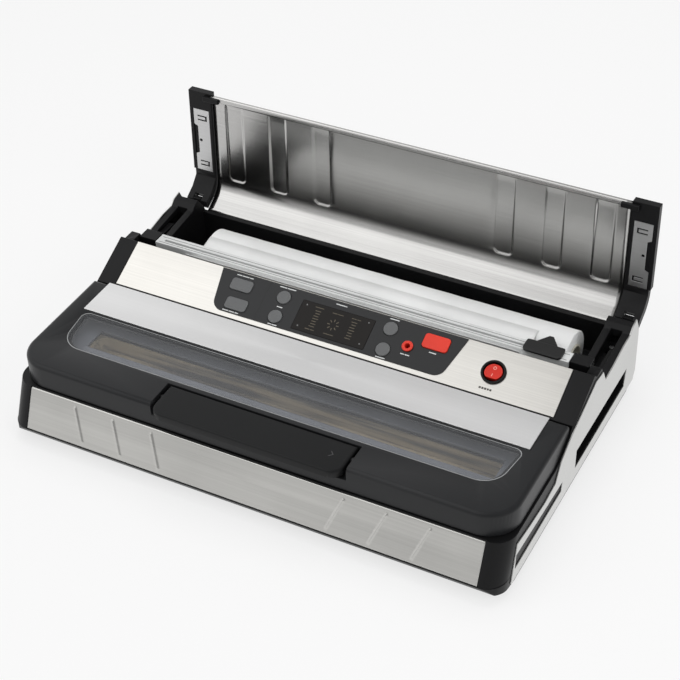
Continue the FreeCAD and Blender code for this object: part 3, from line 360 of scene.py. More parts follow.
# Front panel: stainless sheet let into the sloping front, brushed along its length, with three slanted ribs
# pressed out towards each end and its top edge folded in.
def brushed_group():
    """Brush lines along X: fine streaks of tone, roughness and height over a broad cloud of handling."""
    group = bpy.data.node_groups.new("brushed_lines", "ShaderNodeTree")
    for name, kind, way in (
        ("Color", "NodeSocketColor", "INPUT"), ("Roughness", "NodeSocketFloat", "INPUT"),
        ("Depth", "NodeSocketFloat", "INPUT"), ("Color", "NodeSocketColor", "OUTPUT"),
        ("Roughness", "NodeSocketFloat", "OUTPUT"), ("Height", "NodeSocketFloat", "OUTPUT"),
    ):
        group.interface.new_socket(name, in_out=way, socket_type=kind)
    put, link = group.nodes.new, group.links.new
    inlet, outlet = put("NodeGroupInput"), put("NodeGroupOutput")
    place = put("ShaderNodeTexCoord")
    stretch = put("ShaderNodeMapping")
    stretch.inputs["Scale"].default_value = (6, 900, 900)
    link(place.outputs["Object"], stretch.inputs["Vector"])
    streak = put("ShaderNodeTexNoise")
    streak.inputs["Scale"].default_value = 1
    streak.inputs["Detail"].default_value = 4
    link(stretch.outputs["Vector"], streak.inputs["Vector"])
    cloud = put("ShaderNodeTexNoise")
    cloud.inputs["Scale"].default_value = 14
    cloud.inputs["Detail"].default_value = 3
    link(place.outputs["Object"], cloud.inputs["Vector"])
    both = put("ShaderNodeMath")
    both.operation = "ADD"
    link(streak.outputs["Fac"], both.inputs[0])
    link(cloud.outputs["Fac"], both.inputs[1])
    low, high = put("ShaderNodeMath"), put("ShaderNodeMath")
    low.operation, high.operation = "SUBTRACT", "ADD"
    low.inputs[0].default_value = high.inputs[0].default_value = 1
    link(inlet.outputs["Depth"], low.inputs[1])
    link(inlet.outputs["Depth"], high.inputs[1])
    tone = put("ShaderNodeMapRange")
    tone.inputs["From Min"].default_value = 0.5
    tone.inputs["From Max"].default_value = 1.5
    link(both.outputs[0], tone.inputs["Value"])
    link(low.outputs[0], tone.inputs["To Min"])
    link(high.outputs[0], tone.inputs["To Max"])
    tint = put("ShaderNodeVectorMath")
    tint.operation = "SCALE"
    link(inlet.outputs["Color"], tint.inputs[0])
    link(tone.outputs["Result"], tint.inputs["Scale"])
    link(tint.outputs["Vector"], outlet.inputs["Color"])
    rough = put("ShaderNodeMath")
    rough.operation = "MULTIPLY"
    link(inlet.outputs["Roughness"], rough.inputs[0])
    link(tone.outputs["Result"], rough.inputs[1])
    link(rough.outputs[0], outlet.inputs["Roughness"])
    link(streak.outputs["Fac"], outlet.inputs["Height"])
    return group


brushed_lines = brushed_group()


def brushed(name, color, roughness, depth=0.14, bump_strength=0.05, anisotropy=0.5):
    """A brushed metal."""
    material = bpy.data.materials.new(name)
    material.use_nodes = True
    tree = material.node_tree
    shader = tree.nodes["Principled BSDF"]
    effect = tree.nodes.new("ShaderNodeGroup")
    effect.node_tree = brushed_lines
    effect.inputs["Color"].default_value = (*color, 1)
    effect.inputs["Roughness"].default_value = roughness
    effect.inputs["Depth"].default_value = depth
    bump = tree.nodes.new("ShaderNodeBump")
    bump.inputs["Strength"].default_value = bump_strength
    bump.inputs["Distance"].default_value = 0.0002
    tree.links.new(effect.outputs["Color"], shader.inputs["Base Color"])
    tree.links.new(effect.outputs["Roughness"], shader.inputs["Roughness"])
    tree.links.new(effect.outputs["Height"], bump.inputs["Height"])
    tree.links.new(bump.outputs["Normal"], shader.inputs["Normal"])
    shader.inputs["Metallic"].default_value = 1.0
    shader.inputs["Anisotropic"].default_value = anisotropy
    return material


def pressed_sheet(node, columns, path, lift, thick, material):
    """A sheet swept along X over a path of ((y, z), (normal y, normal z)) rows, in millimetres.

    lift(x, row) presses it along its normal. The sheet's thickness lies behind that face.
    """
    corners = []
    for row, ((y, z), (ny, nz)) in enumerate(path):
        for x in columns:
            rise = lift(x, row)
            corners.append((x / 1000, (y + ny * rise) / 1000, (z + nz * rise) / 1000))
    wide = len(columns)
    faces = [
        (r * wide + c, r * wide + c + 1, (r + 1) * wide + c + 1, (r + 1) * wide + c)
        for r in range(len(path) - 1) for c in range(wide - 1)
    ]
    mesh = bpy.data.meshes.new(node + "_pressing")
    mesh.from_pydata(corners, [], faces)
    piece = bpy.data.objects.new(node + "_pressing", mesh)
    scene.collection.objects.link(piece)
    finish_mesh(piece, material, 50)
    gauge = piece.modifiers.new("gauge", "SOLIDIFY")
    gauge.thickness = thick / 1000
    gauge.offset = -1
    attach(piece, nodes[node]["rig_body"])
    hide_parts(node)
    return piece


def columns_between(half, fine_from, fine_to, fine, coarse):
    """Places across a sheet from -half to half, close together where it is pressed."""
    right = [0.0]
    while right[-1] < half:
        right.append(right[-1] + (fine if fine_from <= right[-1] < fine_to else coarse))
    right[-1] = half
    return [-x for x in reversed(right[1:])] + right


front_foot, front_turn, front_run, front_half = (-141.2, 14.0), math.radians(66.67), 33.0, 179.9
front_start, fold, sheet_gauge, face_rows = 0.6, 1.1, 0.8, 40
along = (math.cos(front_turn), math.sin(front_turn))
outward = (-math.sin(front_turn), math.cos(front_turn))
front_rows = [
    (front_start + i * (front_run - fold - front_start) / face_rows, 0.0, 0.0) for i in range(face_rows + 1)
]
front_rows += [
    (front_run - fold + fold * math.sin(a), fold * (math.cos(a) - 1), a)
    for a in (math.radians(d) for d in range(15, 91, 15))
]
front_path = []
for v, n, a in front_rows:
    spot = tuple(front_foot[i] + v * along[i] + n * outward[i] for i in (0, 1))
    facing = tuple(math.cos(a) * outward[i] + math.sin(a) * along[i] for i in (0, 1))
    front_path.append((spot, facing))
rib_feet, rib_span, ribs_from, ribs_to = (67.5, 99.8, 132.1), (4.5, 28.0), 64, 144
rib_lean, rib_reach, rib_height = 9.0, 1.5, 0.65


def rib_lift(x, row):
    """Height of the half round ribs at a place on the front panel."""
    v = front_rows[row][0]
    nearest = rib_reach
    share = min(max((v - rib_span[0]) / (rib_span[1] - rib_span[0]), 0), 1)
    for rib_foot in rib_feet:
        gap_x = abs(x) - (rib_foot + rib_lean * share)
        gap_v = v - (rib_span[0] + share * (rib_span[1] - rib_span[0]))
        nearest = min(nearest, math.hypot(gap_x, gap_v))
    return rib_height * 0.5 * (1 + math.cos(math.pi * nearest / rib_reach))


front_steel = brushed("front_steel", (0.51, 0.505, 0.485), 0.30)
front_columns = columns_between(front_half, ribs_from, ribs_to, 0.6, 5)
pressed_sheet("front_panel", front_columns, front_path, rib_lift, sheet_gauge, front_steel)

# Side panels: satin metal sheets screwed to the housing walls from inside, each cut with a grip slot at the
# rear and a vent slot at the front.
satin_side = brushed("satin_side", (0.62, 0.62, 0.61), 0.40)
for node in ("left_side_panel", "right_side_panel"):
    soften(node, satin_side, 0.0003)

# Vacuum chamber: a drip tray in the deck with a foam seal round it, and the heat bar under its tan tape.
# The lid carries the other half of the seal and the strip that presses the bag on the bar.
tray_dark, tray_light = (0.13, 0.12, 0.11), (0.52, 0.44, 0.31)
tray_tan = plastic("tray_tan", tray_light, 0.3, Coat_Weight=0.3)
tree = tray_tan.node_tree
tray_way = tree.nodes.new("ShaderNodeTexCoord")
tray_stretch = tree.nodes.new("ShaderNodeMapping")
tray_stretch.inputs["Scale"].default_value = (9, 190, 190)
tray_streak = tree.nodes.new("ShaderNodeTexNoise")
tray_streak.inputs["Scale"].default_value = 1
tray_streak.inputs["Detail"].default_value = 2
tray_tones = tree.nodes.new("ShaderNodeValToRGB")
for stop, spot, tone in zip(tray_tones.color_ramp.elements, (0.38, 0.6), (tray_dark, tray_light)):
    stop.position = spot
    stop.color = (*tone, 1)
tree.links.new(tray_way.outputs["Object"], tray_stretch.inputs["Vector"])
tree.links.new(tray_stretch.outputs["Vector"], tray_streak.inputs["Vector"])
tree.links.new(tray_streak.outputs["Fac"], tray_tones.inputs["Fac"])
tree.links.new(tray_tones.outputs["Color"], tree.nodes["Principled BSDF"].inputs["Base Color"])
nodes["chamber_tray"].data.materials[0] = tray_tan
foam = plastic("foam", (0.022, 0.022, 0.024), 0.85, grain=2600, depth=0.5)
for node in ("lower_gasket", "upper_gasket", "pressure_strip"):
    soften(node, foam, 0.0008)
nodes["seal_bar"].data.materials[0] = brushed("bar_alloy", (0.6, 0.6, 0.6), 0.4)
tape_tan = plastic("tape_tan", (0.28, 0.17, 0.09), 0.5, grain=900, depth=0.2)
nodes["seal_tape"].data.materials[0] = tape_tan

# Vacuum lid: black moulding with a slightly smoother face than the housing, on two hinge pins, with a grey
# carrier for the seal inside and a satin strip stuck along its rear.
lid_black = plastic("lid_black", (0.0155, 0.016, 0.0172), 0.36, Specular_IOR_Level=0.23)
soften("lid_frame", lid_black, 0.0004)
carrier_grey = plastic("carrier_grey", (0.15, 0.16, 0.185), 0.22, depth=0.03)
soften("gasket_carrier", carrier_grey, 0.0005)
lid_satin = brushed("lid_satin", (0.92, 0.92, 0.92), 0.58, depth=0.03, anisotropy=0.2)
soften("lid_plate", lid_satin, 0.0003)

# Lid window: clear moulded plastic, a little milky from use, with polished edges. It is glued into its step
# in the frame.
clear = plastic("clear_window", (0.32, 0.33, 0.345), 0.06, depth=0.0, Alpha=0.14, Specular_IOR_Level=0.9)
soften("lid_window", clear, 0.0006)

# Lid lever: the locking handle on its steel shaft, with a hook under each end. A small chevron moulded in its
# top shows the way to press.
arc_steps = 8


def rounded_loop(corners):
    """A closed outline in millimetres from (x, y, radius) corners, with an arc at each round."""
    outline = []
    count = len(corners)
    for i, (x, y, radius) in enumerate(corners):
        here = Vector((x, y))
        if not radius:
            outline.append((x, y))
            continue
        to_last = (Vector(corners[i - 1][:2]) - here).normalized()
        to_next = (Vector(corners[(i + 1) % count][:2]) - here).normalized()
        half_turn = to_last.angle(to_next) / 2
        middle = here + (to_last + to_next).normalized() * (radius / math.sin(half_turn))
        first = here + to_last * (radius / math.tan(half_turn)) - middle
        sweep = first.angle_signed(here + to_next * (radius / math.tan(half_turn)) - middle)
        for step in range(arc_steps + 1):
            turned = first.copy()
            turned.rotate(Matrix.Rotation(-sweep * step / arc_steps, 2))
            outline.append(tuple(middle + turned))
    return outline


def rounded_box(x, y, wide, deep, radius=0.0):
    """The outline of a rectangle about its middle."""
    signs = ((-1, -1), (1, -1), (1, 1), (-1, 1))
    return rounded_loop([(x + sx * wide / 2, y + sy * deep / 2, radius) for sx, sy in signs])


def disc(x, y, radius, steps=40):
    """The outline of a circle."""
    turns = [2 * math.pi * i / steps for i in range(steps)]
    return [(x + radius * math.cos(a), y + radius * math.sin(a)) for a in turns]


def flat_shape(name, loops, thick, place, material, body, edge=0.0):
    """A plate with holes from outlines in millimetres. place puts its middle level in the frame."""
    drawing = bpy.data.curves.new(name, "CURVE")
    drawing.dimensions = "2D"
    drawing.fill_mode = "BOTH"
    drawing.extrude = thick / 2000
    for loop in loops:
        spline = drawing.splines.new("POLY")
        spline.points.add(len(loop) - 1)
        for point, (x, y) in zip(spline.points, loop):
            point.co = (x / 1000, y / 1000, 0, 1)
        spline.use_cyclic_u = True
    pattern = bpy.data.objects.new(name + "_drawing", drawing)
    scene.collection.objects.link(pattern)
    bpy.context.view_layer.update()
    ready = pattern.evaluated_get(bpy.context.evaluated_depsgraph_get())
    mesh = bpy.data.meshes.new_from_object(ready)
    bpy.data.objects.remove(pattern)
    form = bmesh.new()
    form.from_mesh(mesh)
    bmesh.ops.remove_doubles(form, verts=form.verts, dist=1e-6)
    bmesh.ops.dissolve_limit(form, angle_limit=math.radians(0.5), verts=form.verts, edges=form.edges)
    bmesh.ops.recalc_face_normals(form, faces=form.faces)
    form.to_mesh(mesh)
    form.free()
    mesh.transform(place)
    piece = bpy.data.objects.new(name, mesh)
    scene.collection.objects.link(piece)
    finish_mesh(piece, material)
    if edge:
        break_edges(piece, edge, 3)
    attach(piece, body)
    return piece


lever_black = plastic("lever_black", (0.0105, 0.0108, 0.0112), 0.4, Specular_IOR_Level=0.16)
soften("lid_lever", lever_black, 0.0006, clamp=True)
chevron = [(60, -119), (62.4, -116.5), (60, -114), (60.8, -114), (63.2, -116.5), (60.8, -119)]
chevron_grey = plastic("chevron_grey", (0.05, 0.05, 0.052), 0.4)
lever_top, chevron_thick = Matrix.Translation((0, 0, 0.0646)), 0.2
flat_shape("lever_chevron", [chevron], chevron_thick, lever_top, chevron_grey, "lever")
nodes["latch_hooks"].data.materials[0] = black_plastic

# Rim of the window: a pale ring painted all round its top face as the highlight on the polished edge of the
# clear plastic, where it meets the frame. It follows the window's own outline.
rim_width, rim_thick, rim_sink = 0.55, 0.04, 0.00001
form = bmesh.new()
form.from_mesh(nodes["lid_window"].data)
window_top = max(v.co.z for v in form.verts)
bmesh.ops.delete(form, geom=[v for v in form.verts if v.co.z < window_top - 1e-5], context="VERTS")
bmesh.ops.remove_doubles(form, verts=form.verts, dist=1e-5)
rim_edges = [e for e in form.edges if e.is_boundary]
rim_vert, rim_edge, rim_loop = rim_edges[0].verts[0], rim_edges[0], []
for _ in rim_edges:
    rim_loop.append((rim_vert.co.x * 1000, rim_vert.co.y * 1000))
    rim_vert = rim_edge.other_vert(rim_vert)
    rim_edge = next((e for e in rim_vert.link_edges if e.is_boundary and e is not rim_edge), rim_edge)
form.free()
rim_middle = sum(y for _, y in rim_loop) / len(rim_loop)
half_wide, half_deep = (max(p[i] for p in rim_loop) / 2 - min(p[i] for p in rim_loop) / 2 for i in (0, 1))
narrower, shallower = 1 - rim_width / half_wide, 1 - rim_width / half_deep
rim_inner = [(x * narrower, rim_middle + (y - rim_middle) * shallower) for x, y in rim_loop]
# Pale grey of the ring: a painted highlight, standing in for light caught on the window's edge.
rim_painted_highlight = plastic("rim_painted_highlight", (0.30, 0.305, 0.31), 0.3, depth=0.02)
rim_place = Matrix.Translation((0, 0, window_top - rim_sink))
flat_shape("window_rim_highlight", [rim_loop, rim_inner], rim_thick, rim_place, rim_painted_highlight, "vacuum_lid")

# Control plate: stainless sheet on the slope, brushed along its length and pierced for the controls, with a
# small dark mark printed under the switch.
control_steel = brushed("control_steel", (0.69, 0.675, 0.64), 0.30)
soften("control_plate", control_steel, 0.0002)
slope_foot, slope_turn, ink = (0, -0.0138, 0.0602), math.radians(25.9), 0.04


def on_control(level):
    """Lays a drawing of the control slope in the frame, at a level above the steel."""
    turn = Matrix.Rotation(slope_turn, 4, "X")
    return Matrix.Translation(slope_foot) @ turn @ Matrix.Translation((0, 0, level / 1000))


def print_marks(x, v, parts, high=0.9, space=0.5):
    """A row of short printed bars about a middle, one for each length in parts."""
    start = x - (sum(parts) + space * (len(parts) - 1)) / 2
    loops = []
    for long in parts:
        loops.append(rounded_box(start + long / 2, v, long, high))
        start += long + space
    return loops


dark_print = plastic("dark_print", (0.05, 0.045, 0.04), 0.6)
switch_bars = print_marks(126.4, 5.8, (1.6, 1.5, 1.7, 1.4, 1.5), 1.5)
flat_shape("switch_mark", switch_bars, ink, on_control(ink / 2), dark_print, "housing")

# Control overlay: black polyester sheet stuck on the plate, with rounded windows for the buttons, pale
# printed bars beside them and a fine divider line.
rect_buttons = {"upper_left_button": (-81.4, 27.8), "lower_left_button": (-78.4, 11.9)}
round_buttons = {
    "mode_button": (-45.3, 28.2), "food_button": (-45.0, 11.6),
    "upper_right_button": (43.0, 28.6), "lower_right_button": (44.0, 11.4),
}
red_spot, port_spot, port_hole = (79.6, 28.0), (60.5, 19.2), 3.2
rect_wide, rect_deep, round_radius, red_wide, red_deep = 18, 10, 5.5, 20, 11.6
play, window_round, overlay_thick = 0.3, 2.8, 0.6
overlay_loops = [rounded_loop([(-102.5, 38.2, 0), (-96, 4, 9), (92, 4, 9), (101, 38.2, 0)])]
for x, v in rect_buttons.values():
    overlay_loops.append(rounded_box(x, v, rect_wide + 2 * play, rect_deep + 2 * play, window_round))
overlay_loops += [disc(x, v, round_radius + play) for x, v in round_buttons.values()]
overlay_loops += [rounded_box(*red_spot, red_wide + 2 * play, red_deep + 2 * play, window_round)]
overlay_loops += [disc(*port_spot, port_hole), rounded_box(0, 19, 60, 25, 0.8)]
overlay_black = plastic("overlay_black", (0.016, 0.0165, 0.0175), 0.42, depth=0.03, Specular_IOR_Level=0.35)
overlay_level = on_control(overlay_thick / 2)
overlay = flat_shape(
    "overlay_sheet", overlay_loops, overlay_thick, overlay_level, overlay_black, "housing", 0.00012
)
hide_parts("control_overlay")
marks = []
for x, v, parts in (
    (-82, 35.6, (4, 6, 3)), (-80.5, 5.3, (5, 4.5, 3)), (-45.5, 36.2, (6, 7)), (-45.2, 20, (4.6,)),
    (-44.5, 5.0, (3, 4)), (0, 35.4, (9,)), (43, 36.4, (7.4,)), (44.5, 4.95, (7.6,)), (61, 12.6, (3, 3.6)),
    (80, 19.8, (5.6,)),
):
    marks += print_marks(x, v, parts, 0.8)
white_print = plastic("white_print", (0.62, 0.63, 0.63), 0.6)
print_level = on_control(overlay_thick + ink / 2)
flat_shape("overlay_marks", marks, ink, print_level, white_print, "housing")
divider_dark = plastic("divider_grey", (0.004, 0.004, 0.004), 0.5)
flat_shape("overlay_divider", [rounded_box(-60.3, 21, 0.4, 33)], ink, print_level, divider_dark, "housing")

# Display: a smoked lens over the indicator board, with two columns of bars, a ring of ticks and a lamp at
# each corner showing through as dull amber marks.
smoked = plastic("smoked_lens", (0.014, 0.0125, 0.0115), 0.16, depth=0.0, Specular_IOR_Level=0.12)
soften("display_lens", smoked, 0.0003)
lens_level, lamp_ink = on_control(0.815), 0.03
ticks = []
for x, low, high in ((-15, 12.5, 25.5), (15, 11.5, 25)):
    for i in range(7):
        tick_long = 4.6 - 0.5 * (i % 3)
        ticks.append(rounded_box(x + 0.35 * (i % 2), low + i * (high - low) / 6, tick_long, 0.55))
for i in range(8):
    turn = Matrix.Rotation(math.pi * i / 4, 2)
    spoke = [Vector(p) for p in ((2.6, -0.35), (4.6, -0.35), (4.6, 0.35), (2.6, 0.35))]
    ticks.append([tuple(turn @ p + Vector((0.3, 18.4))) for p in spoke])
for x, v, parts in (
    (-15, 28.4, (7,)), (0.5, 27.6, (4, 4.5)), (15.5, 27.8, (4, 3)), (-15.5, 9.8, (4, 3)), (0, 10.2, (8,)),
):
    ticks += print_marks(x, v, parts, 0.5)
amber = plastic("amber_marks", (0.135, 0.118, 0.09), 0.4, Specular_IOR_Level=0.12)
flat_shape("display_marks", ticks, lamp_ink, lens_level, amber, "housing")
lamp_dots = [disc(x, v, 0.55, 14) for x in (-25.5, 25.5) for v in (10.2, 28.2)]
lamp_grey = plastic("lamp_grey", (0.2, 0.2, 0.2), 0.3)
flat_shape("display_lamps", lamp_dots, lamp_ink, lens_level, lamp_grey, "housing")

# Buttons: moulded caps with rounded corners that stand a little proud of the overlay, grey for the settings
# and red for the one that stops the cycle.
cap_low, cap_high, cap_round = -1.4, 1.5, 2.5
grey_cap = plastic("grey_cap", (0.125, 0.128, 0.13), 0.5, Specular_IOR_Level=0.35)
red_cap = plastic("red_cap", (0.74, 0.045, 0.025), 0.4, Specular_IOR_Level=0.3)
cap_outlines = {}
for name, (x, v) in rect_buttons.items():
    cap_outlines[name] = (rounded_box(x, v, rect_wide, rect_deep, cap_round), grey_cap)
cap_outlines |= {name: (disc(x, v, round_radius), grey_cap) for name, (x, v) in round_buttons.items()}
cap_outlines["red_button"] = (rounded_box(*red_spot, red_wide, red_deep, cap_round), red_cap)
for name, (outline, material) in cap_outlines.items():
    middle = on_control((cap_low + cap_high) / 2)
    cap = flat_shape(name + "_cap", [outline], cap_high - cap_low, middle, material, name + "_body", 0.0005)
    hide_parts(name)

# Accessory port and power switch: a red flanged tube for the hose plug, and a red rocker in a black bezel,
# marked with a ring and a bar.
soften("accessory_port", red_cap, 0.0003)
soften("power_bezel", black_plastic, 0.0004)
rocker_red = plastic("rocker_red", (0.62, 0.022, 0.010), 0.2, depth=0.0, Specular_IOR_Level=0.4)
soften("power_rocker", rocker_red, 0.0005, clamp=True)
switch_x, switch_v, rocker_ink = 127.5, 19.4, 0.06


def on_rocker(v, level, tip):
    """Lays a mark on the hollow face of the rocker, v millimetres up the slope from its middle."""
    spot = Matrix.Translation((0, (switch_v + v) / 1000, level / 1000))
    return on_control(0) @ spot @ Matrix.Rotation(math.radians(tip), 4, "X")


pale_red = plastic("rocker_print", (0.85, 0.42, 0.36), 0.5)
ring_loops = [disc(switch_x, 0, 1.25), disc(switch_x, 0, 0.85)]
flat_shape("rocker_ring", ring_loops, rocker_ink, on_rocker(3.2, 0.68, -4.5), pale_red, "rocker")
bar_loop = rounded_box(switch_x, 0, 0.5, 2.4)
flat_shape("rocker_bar", [bar_loop], rocker_ink, on_rocker(-2.7, 1.47, -11.5), pale_red, "rocker")


# Bag roll: embossed bag film wound on a card core, its turns showing as fine rings at the ends. It lies
# loose in the bay.
def lathe(name, profile, axis, material, body, steps=96):
    """A turned form about an axis along X. The profile is closed, as (x, radius) points in millimetres."""
    y, z = axis
    corners = []
    for x, radius in profile:
        for k in range(steps):
            a = 2 * math.pi * k / steps
            around = (y + radius * math.cos(a), z + radius * math.sin(a))
            corners.append((x / 1000, around[0] / 1000, around[1] / 1000))
    count = len(profile)
    faces = []
    for i in range(count):
        j = (i + 1) % count
        for k in range(steps):
            m = (k + 1) % steps
            faces.append((i * steps + k, i * steps + m, j * steps + m, j * steps + k))
    mesh = bpy.data.meshes.new(name)
    mesh.from_pydata(corners, [], faces)
    form = bmesh.new()
    form.from_mesh(mesh)
    bmesh.ops.recalc_face_normals(form, faces=form.faces)
    form.to_mesh(mesh)
    form.free()
    piece = bpy.data.objects.new(name, mesh)
    scene.collection.objects.link(piece)
    finish_mesh(piece, material, 40)
    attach(piece, body)
    return piece


roll_axis, roll_left, roll_right = (64.6, 46.5), -139.0, 164.0
roll_radius, core_radius, turn_count = 23.0, 13.0, 19
turn_apart = (roll_radius - 1.0 - core_radius) / (turn_count - 1)
turns = [core_radius + 0.1 + i * turn_apart for i in range(turn_count)]
step_in = [0.35 if i % 2 else 0.0 for i in range(turn_count)]
roll_profile = [(roll_left + dx, r) for dx, r in zip(step_in, turns)]
roll_profile += [(roll_left + 0.1, roll_radius - 0.6), (roll_left + 0.6, roll_radius - 0.1)]
for x in range(int(roll_left) + 3, int(roll_right) - 1, 4):
    roll_profile.append((x, roll_radius - 0.05 - 0.12 * math.sin(x * 0.11) ** 2))
roll_profile += [(roll_right - 0.6, roll_radius - 0.1), (roll_right - 0.1, roll_radius - 0.6)]
roll_profile += [(roll_right - dx, r) for dx, r in zip(reversed(step_in), reversed(turns))]
bag_film = plastic("bag_film", (0.75, 0.755, 0.75), 0.38, grain=420, depth=0.22)
wound_film = lathe("wound_film", roll_profile, roll_axis, bag_film, nodes["film_roll"]["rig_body"])
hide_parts("film_roll")
card = plastic("card", (0.56, 0.54, 0.46), 0.8, grain=700, depth=0.3)
nodes["roll_core"].data.materials[0] = card

# Free end of the film: it leaves the roll, passes under the cutter rail and turns up against the top of the
# control slope, where the next bag is drawn from.
film_gauge, film_half = 0.2, 138.5
film_points = [
    (59.9, 69.4), (52, 67.75), (43.8, 66.12), (36, 66.1), (30.2, 66.15), (28.2, 66.7), (26.9, 68.4),
    (25.2, 71.9), (23.6, 75.3), (22.75, 77.2),
]
film_rows = []
film_before, film_after = film_points[:1] + film_points, film_points[1:] + film_points[-1:]
for before, here, after in zip(film_before, film_points, film_after):
    run = Vector(after) - Vector(before)
    run.normalize()
    film_rows.append((here, (run.y, -run.x)))


def film_ripple(x, row):
    """Loose ripples that grow towards the free edge."""
    return 0.22 * max(row - 5, 0) / 4 * math.sin(x * 0.09) * math.sin(x * 0.031 + 0.7)


film_columns = columns_between(film_half, 0, 0, 1, 3.5)
free_film = pressed_sheet("film_end", film_columns, film_rows, film_ripple, film_gauge, bag_film)

# Cutter: a pale rail that lifts on its end pivots, with two dark strips painted along its top as the shade in
# two shallow grooves, and a black slider that carries the blade along its slit.
pale_rail = plastic("pale_rail", (0.66, 0.67, 0.665), 0.28, depth=0.03)
soften("cutter_rail", pale_rail, 0.0004, clamp=True)
line_long, line_wide, rail_top = 340, 0.45, Matrix.Translation((0, 0, 0.07202))
# Two dark strips on top of the rail: painted shade, standing in for two shallow grooves.
rail_groove_shade = [rounded_box(0, y, line_long, line_wide) for y in (34.4, 40.8)]
groove_shade_grey = plastic("groove_shade_grey", (0.09, 0.09, 0.09), 0.5)
flat_shape("rail_groove_shade", rail_groove_shade, ink, rail_top, groove_shade_grey, "rail")
slider_black = plastic("slider_black", (0.014, 0.014, 0.014), 0.45, Specular_IOR_Level=0.3)
soften("cutter_slider", slider_black, 0.0004, clamp=True)

# Storage lid: stainless sheet pressed with stiffening panels, rolled round at its rear edge and hemmed at
# its front edge. The two end caps carry it.
hinge, lean = (118.0, 53.0), math.radians(2)
face, toe, corner, bend = 15.5, (-2.95, -4.6), (15.5, 7.4), 17.2
lead = Vector((corner[0] - toe[0], corner[1] - toe[1])).normalized()
swing = math.acos(lead.y)
trim = bend * math.tan(swing / 2)
bend_start = (corner[0] - lead.x * trim, corner[1] - lead.y * trim)
bend_high = corner[1] + trim
hem_high, hem_round, lip_low = 92.2, 0.85, 89.5
lead_steps, bend_steps, foot_steps, face_steps, hem_steps, lip_steps = 4, 14, 13, 18, 10, 3
lid_rows = []
for i in range(lead_steps):
    part = i / lead_steps
    at = (toe[0] + part * (bend_start[0] - toe[0]), toe[1] + part * (bend_start[1] - toe[1]))
    lid_rows.append((at, (-lead.y, lead.x)))
for i in range(bend_steps + 1):
    a = -swing * (1 - i / bend_steps)
    at = (face - bend + bend * math.cos(a), bend_high + bend * math.sin(a))
    lid_rows.append((at, (-math.cos(a), -math.sin(a))))
lid_rows += [((face, bend_high + 0.7 * i), (-1, 0)) for i in range(1, foot_steps + 1)]
straight = lid_rows[-1][0][1]
for i in range(1, face_steps + 1):
    lid_rows.append(((face, straight + (hem_high - straight) * i / face_steps), (-1, 0)))
for i in range(1, hem_steps + 1):
    a = math.pi * i / hem_steps
    at = (face - hem_round + hem_round * math.cos(a), hem_high + hem_round * math.sin(a))
    lid_rows.append((at, (-math.cos(a), -math.sin(a))))
for i in range(1, lip_steps + 1):
    at = (face - 2 * hem_round, hem_high + (lip_low - hem_high) * i / lip_steps)
    lid_rows.append((at, (1, 0)))


def in_cover(pair, from_hinge=True):
    """A place or direction of the open storage lid, as (y, z) of the frame."""
    v, u = pair
    y, z = v * math.cos(lean) + u * math.sin(lean), u * math.cos(lean) - v * math.sin(lean)
    return (hinge[0] + y, hinge[1] + z) if from_hinge else (y, z)


panel_middles, panel_half, panel_foot = (78, 117.5, 156.8), 7.4, 18.0
panel_round, panel_depth, panel_slope = 4.0, 0.9, 1.6


def panel_lift(x, row):
    """Depth of the stiffening panels: sunk strips with rounded lower corners, open towards the hem."""
    (_, u), facing = lid_rows[row]
    if facing != (-1, 0):
        return 0.0
    sunk = 0.0
    for middle in panel_middles:
        over = abs(abs(x) - middle) - panel_half + panel_round
        under = panel_foot + panel_round - u
        edge = math.hypot(max(over, 0), max(under, 0)) + min(max(over, under), 0) - panel_round
        share = min(max(0.5 - edge / panel_slope, 0), 1)
        sunk = max(sunk, share * share * (3 - 2 * share))
    return -panel_depth * sunk * min(max((hem_high - 3 - u) / 4, 0), 1)


cover_path = [(in_cover(spot), in_cover(facing, False)) for spot, facing in lid_rows]
cover_steel = brushed("cover_steel", (0.50, 0.495, 0.485), 0.24)
cover_half, panels_from, panels_to = 176.2, 68, 166
lid_columns = columns_between(cover_half, panels_from, panels_to, 0.7, 5)
pressed_sheet("storage_lid_sheet", lid_columns, cover_path, panel_lift, sheet_gauge, cover_steel)

# End caps of the storage lid: black mouldings pinned to the hinge brackets, each with a satin plate clipped
# in its inner face and a catch at the top.
for node in ("left_lid_cap", "right_lid_cap"):
    soften(node, black_plastic, 0.0005, clamp=True)
soften("storage_lid_catches", black_plastic, 0.0005)
inlay_steel = brushed("inlay_satin", (0.62, 0.62, 0.62), 0.4, depth=0.08)
plate_low, plate_high, plate_middle, plate_half, plate_thick = 22.3, 78.7, 186.5, 7.2, 0.8
lean_cos, lean_sin = math.cos(lean), math.sin(lean)
plate_turn = Matrix(((1, 0, 0), (0, lean_sin, -lean_cos), (0, lean_cos, lean_sin))).to_4x4()
plate_spot = in_cover((14.1, 0))
plate_place = Matrix.Translation((0, plate_spot[0] / 1000, plate_spot[1] / 1000)) @ plate_turn
notch_depth, slot_levels = 3.2, (29, 71)
slot = [
    (-4.2, -2.4), (4.2, -2.4), (4.2, -1.2), (-2.8, -1.2),
    (-2.8, 1.2), (4.2, 1.2), (4.2, 2.4), (-4.2, 2.4),
]
inlay_loops = []
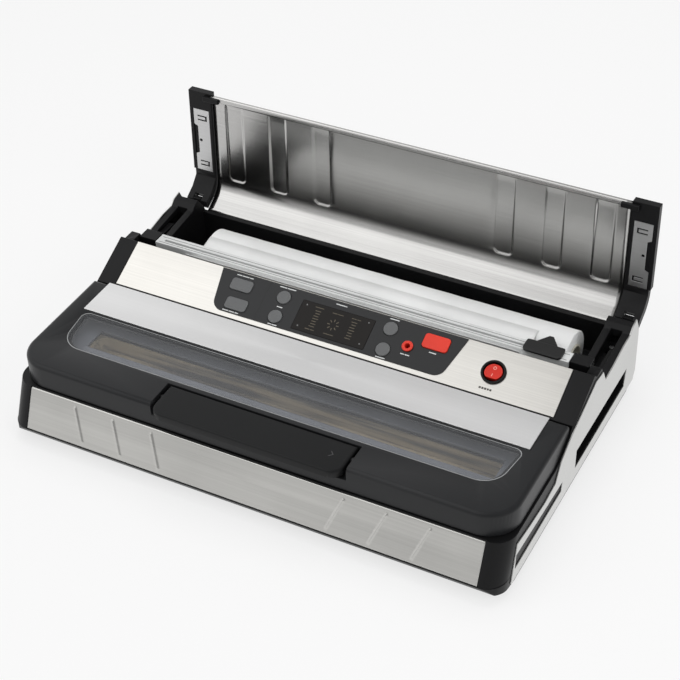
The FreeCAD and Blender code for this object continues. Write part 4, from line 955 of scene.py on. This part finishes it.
for side in (-1, 1):
    x_in, x_out = side * (plate_middle - plate_half), side * (plate_middle + plate_half)
    notch = x_out - side * notch_depth
    inlay_loops.append([
        (x_in, plate_low), (x_out, plate_low), (x_out, 37), (notch, 38.5),
        (notch, 63), (x_out, 64.5), (x_out, plate_high), (x_in, plate_high),
    ])
    for u in slot_levels:
        inlay_loops.append([(side * (plate_middle - 0.6 + sx), u + su) for sx, su in slot])
    inlay_loops.append(disc(side * (plate_middle + 1.8), 50.5, 1.3, 16))
inlays = flat_shape(
    "inlay_plates", inlay_loops, plate_thick, plate_place, inlay_steel, "storage_lid", 0.00015
)
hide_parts("storage_lid_inlays")

# Hinge pins, shaft, latch plates, blade and screws: plain turned and pressed steel. The lever's shaft and the
# storage lid's pins are darkened, and one screw head sits in the deep end of each well.
steel = brushed("plain_steel", (0.5, 0.5, 0.5), 0.35)
for node in ("latch_keepers", "pan_screws", "lid_hinge_pins", "cutter_blade"):
    nodes[node].data.materials[0] = steel
dark_steel = brushed("dark_steel", (0.05, 0.05, 0.052), 0.4)
for node in ("lever_shaft", "storage_hinge_pins"):
    nodes[node].data.materials[0] = dark_steel
screw_x, screw_y, head_radius, head_high = 185.4, 87, 1.9, 1.2
head_place = Matrix.Translation((0, 0, (well_floor + head_high / 2) / 1000))
for side, name in ((-1, "left_well_screw"), (1, "right_well_screw")):
    head = disc(side * screw_x, screw_y, head_radius, 24)
    flat_shape(name, [head], head_high, head_place, steel, "housing", 0.0003)

# Works inside the housing: the boards, the pump with its motor and hose, and the transformer. They are
# screwed to the pan, and the control board hangs under the slope.
circuit = plastic("circuit_green", (0.02, 0.12, 0.05), 0.4)
for node in ("control_board", "power_board"):
    nodes[node].data.materials[0] = circuit
pump_plastic = plastic("pump_plastic", (0.6, 0.6, 0.58), 0.45)
for node in ("pump_head", "pump_crank"):
    nodes[node].data.materials[0] = pump_plastic
nodes["pump_motor"].data.materials[0] = brushed("motor_can", (0.4, 0.4, 0.4), 0.35)
nodes["vacuum_hose"].data.materials[0] = plastic("hose_milky", (0.6, 0.6, 0.57), 0.35)
nodes["transformer"].data.materials[0] = plastic("core_iron", (0.1, 0.1, 0.1), 0.6)

# Feet and bush: soft black rubber, moulded, with the feet pushed into the pan and the bush into the hole of
# the rear wall.
rubber = plastic("rubber", (0.015, 0.015, 0.015), 0.8)
for node in ("feet", "cord_grommet"):
    nodes[node].data.materials[0] = rubber
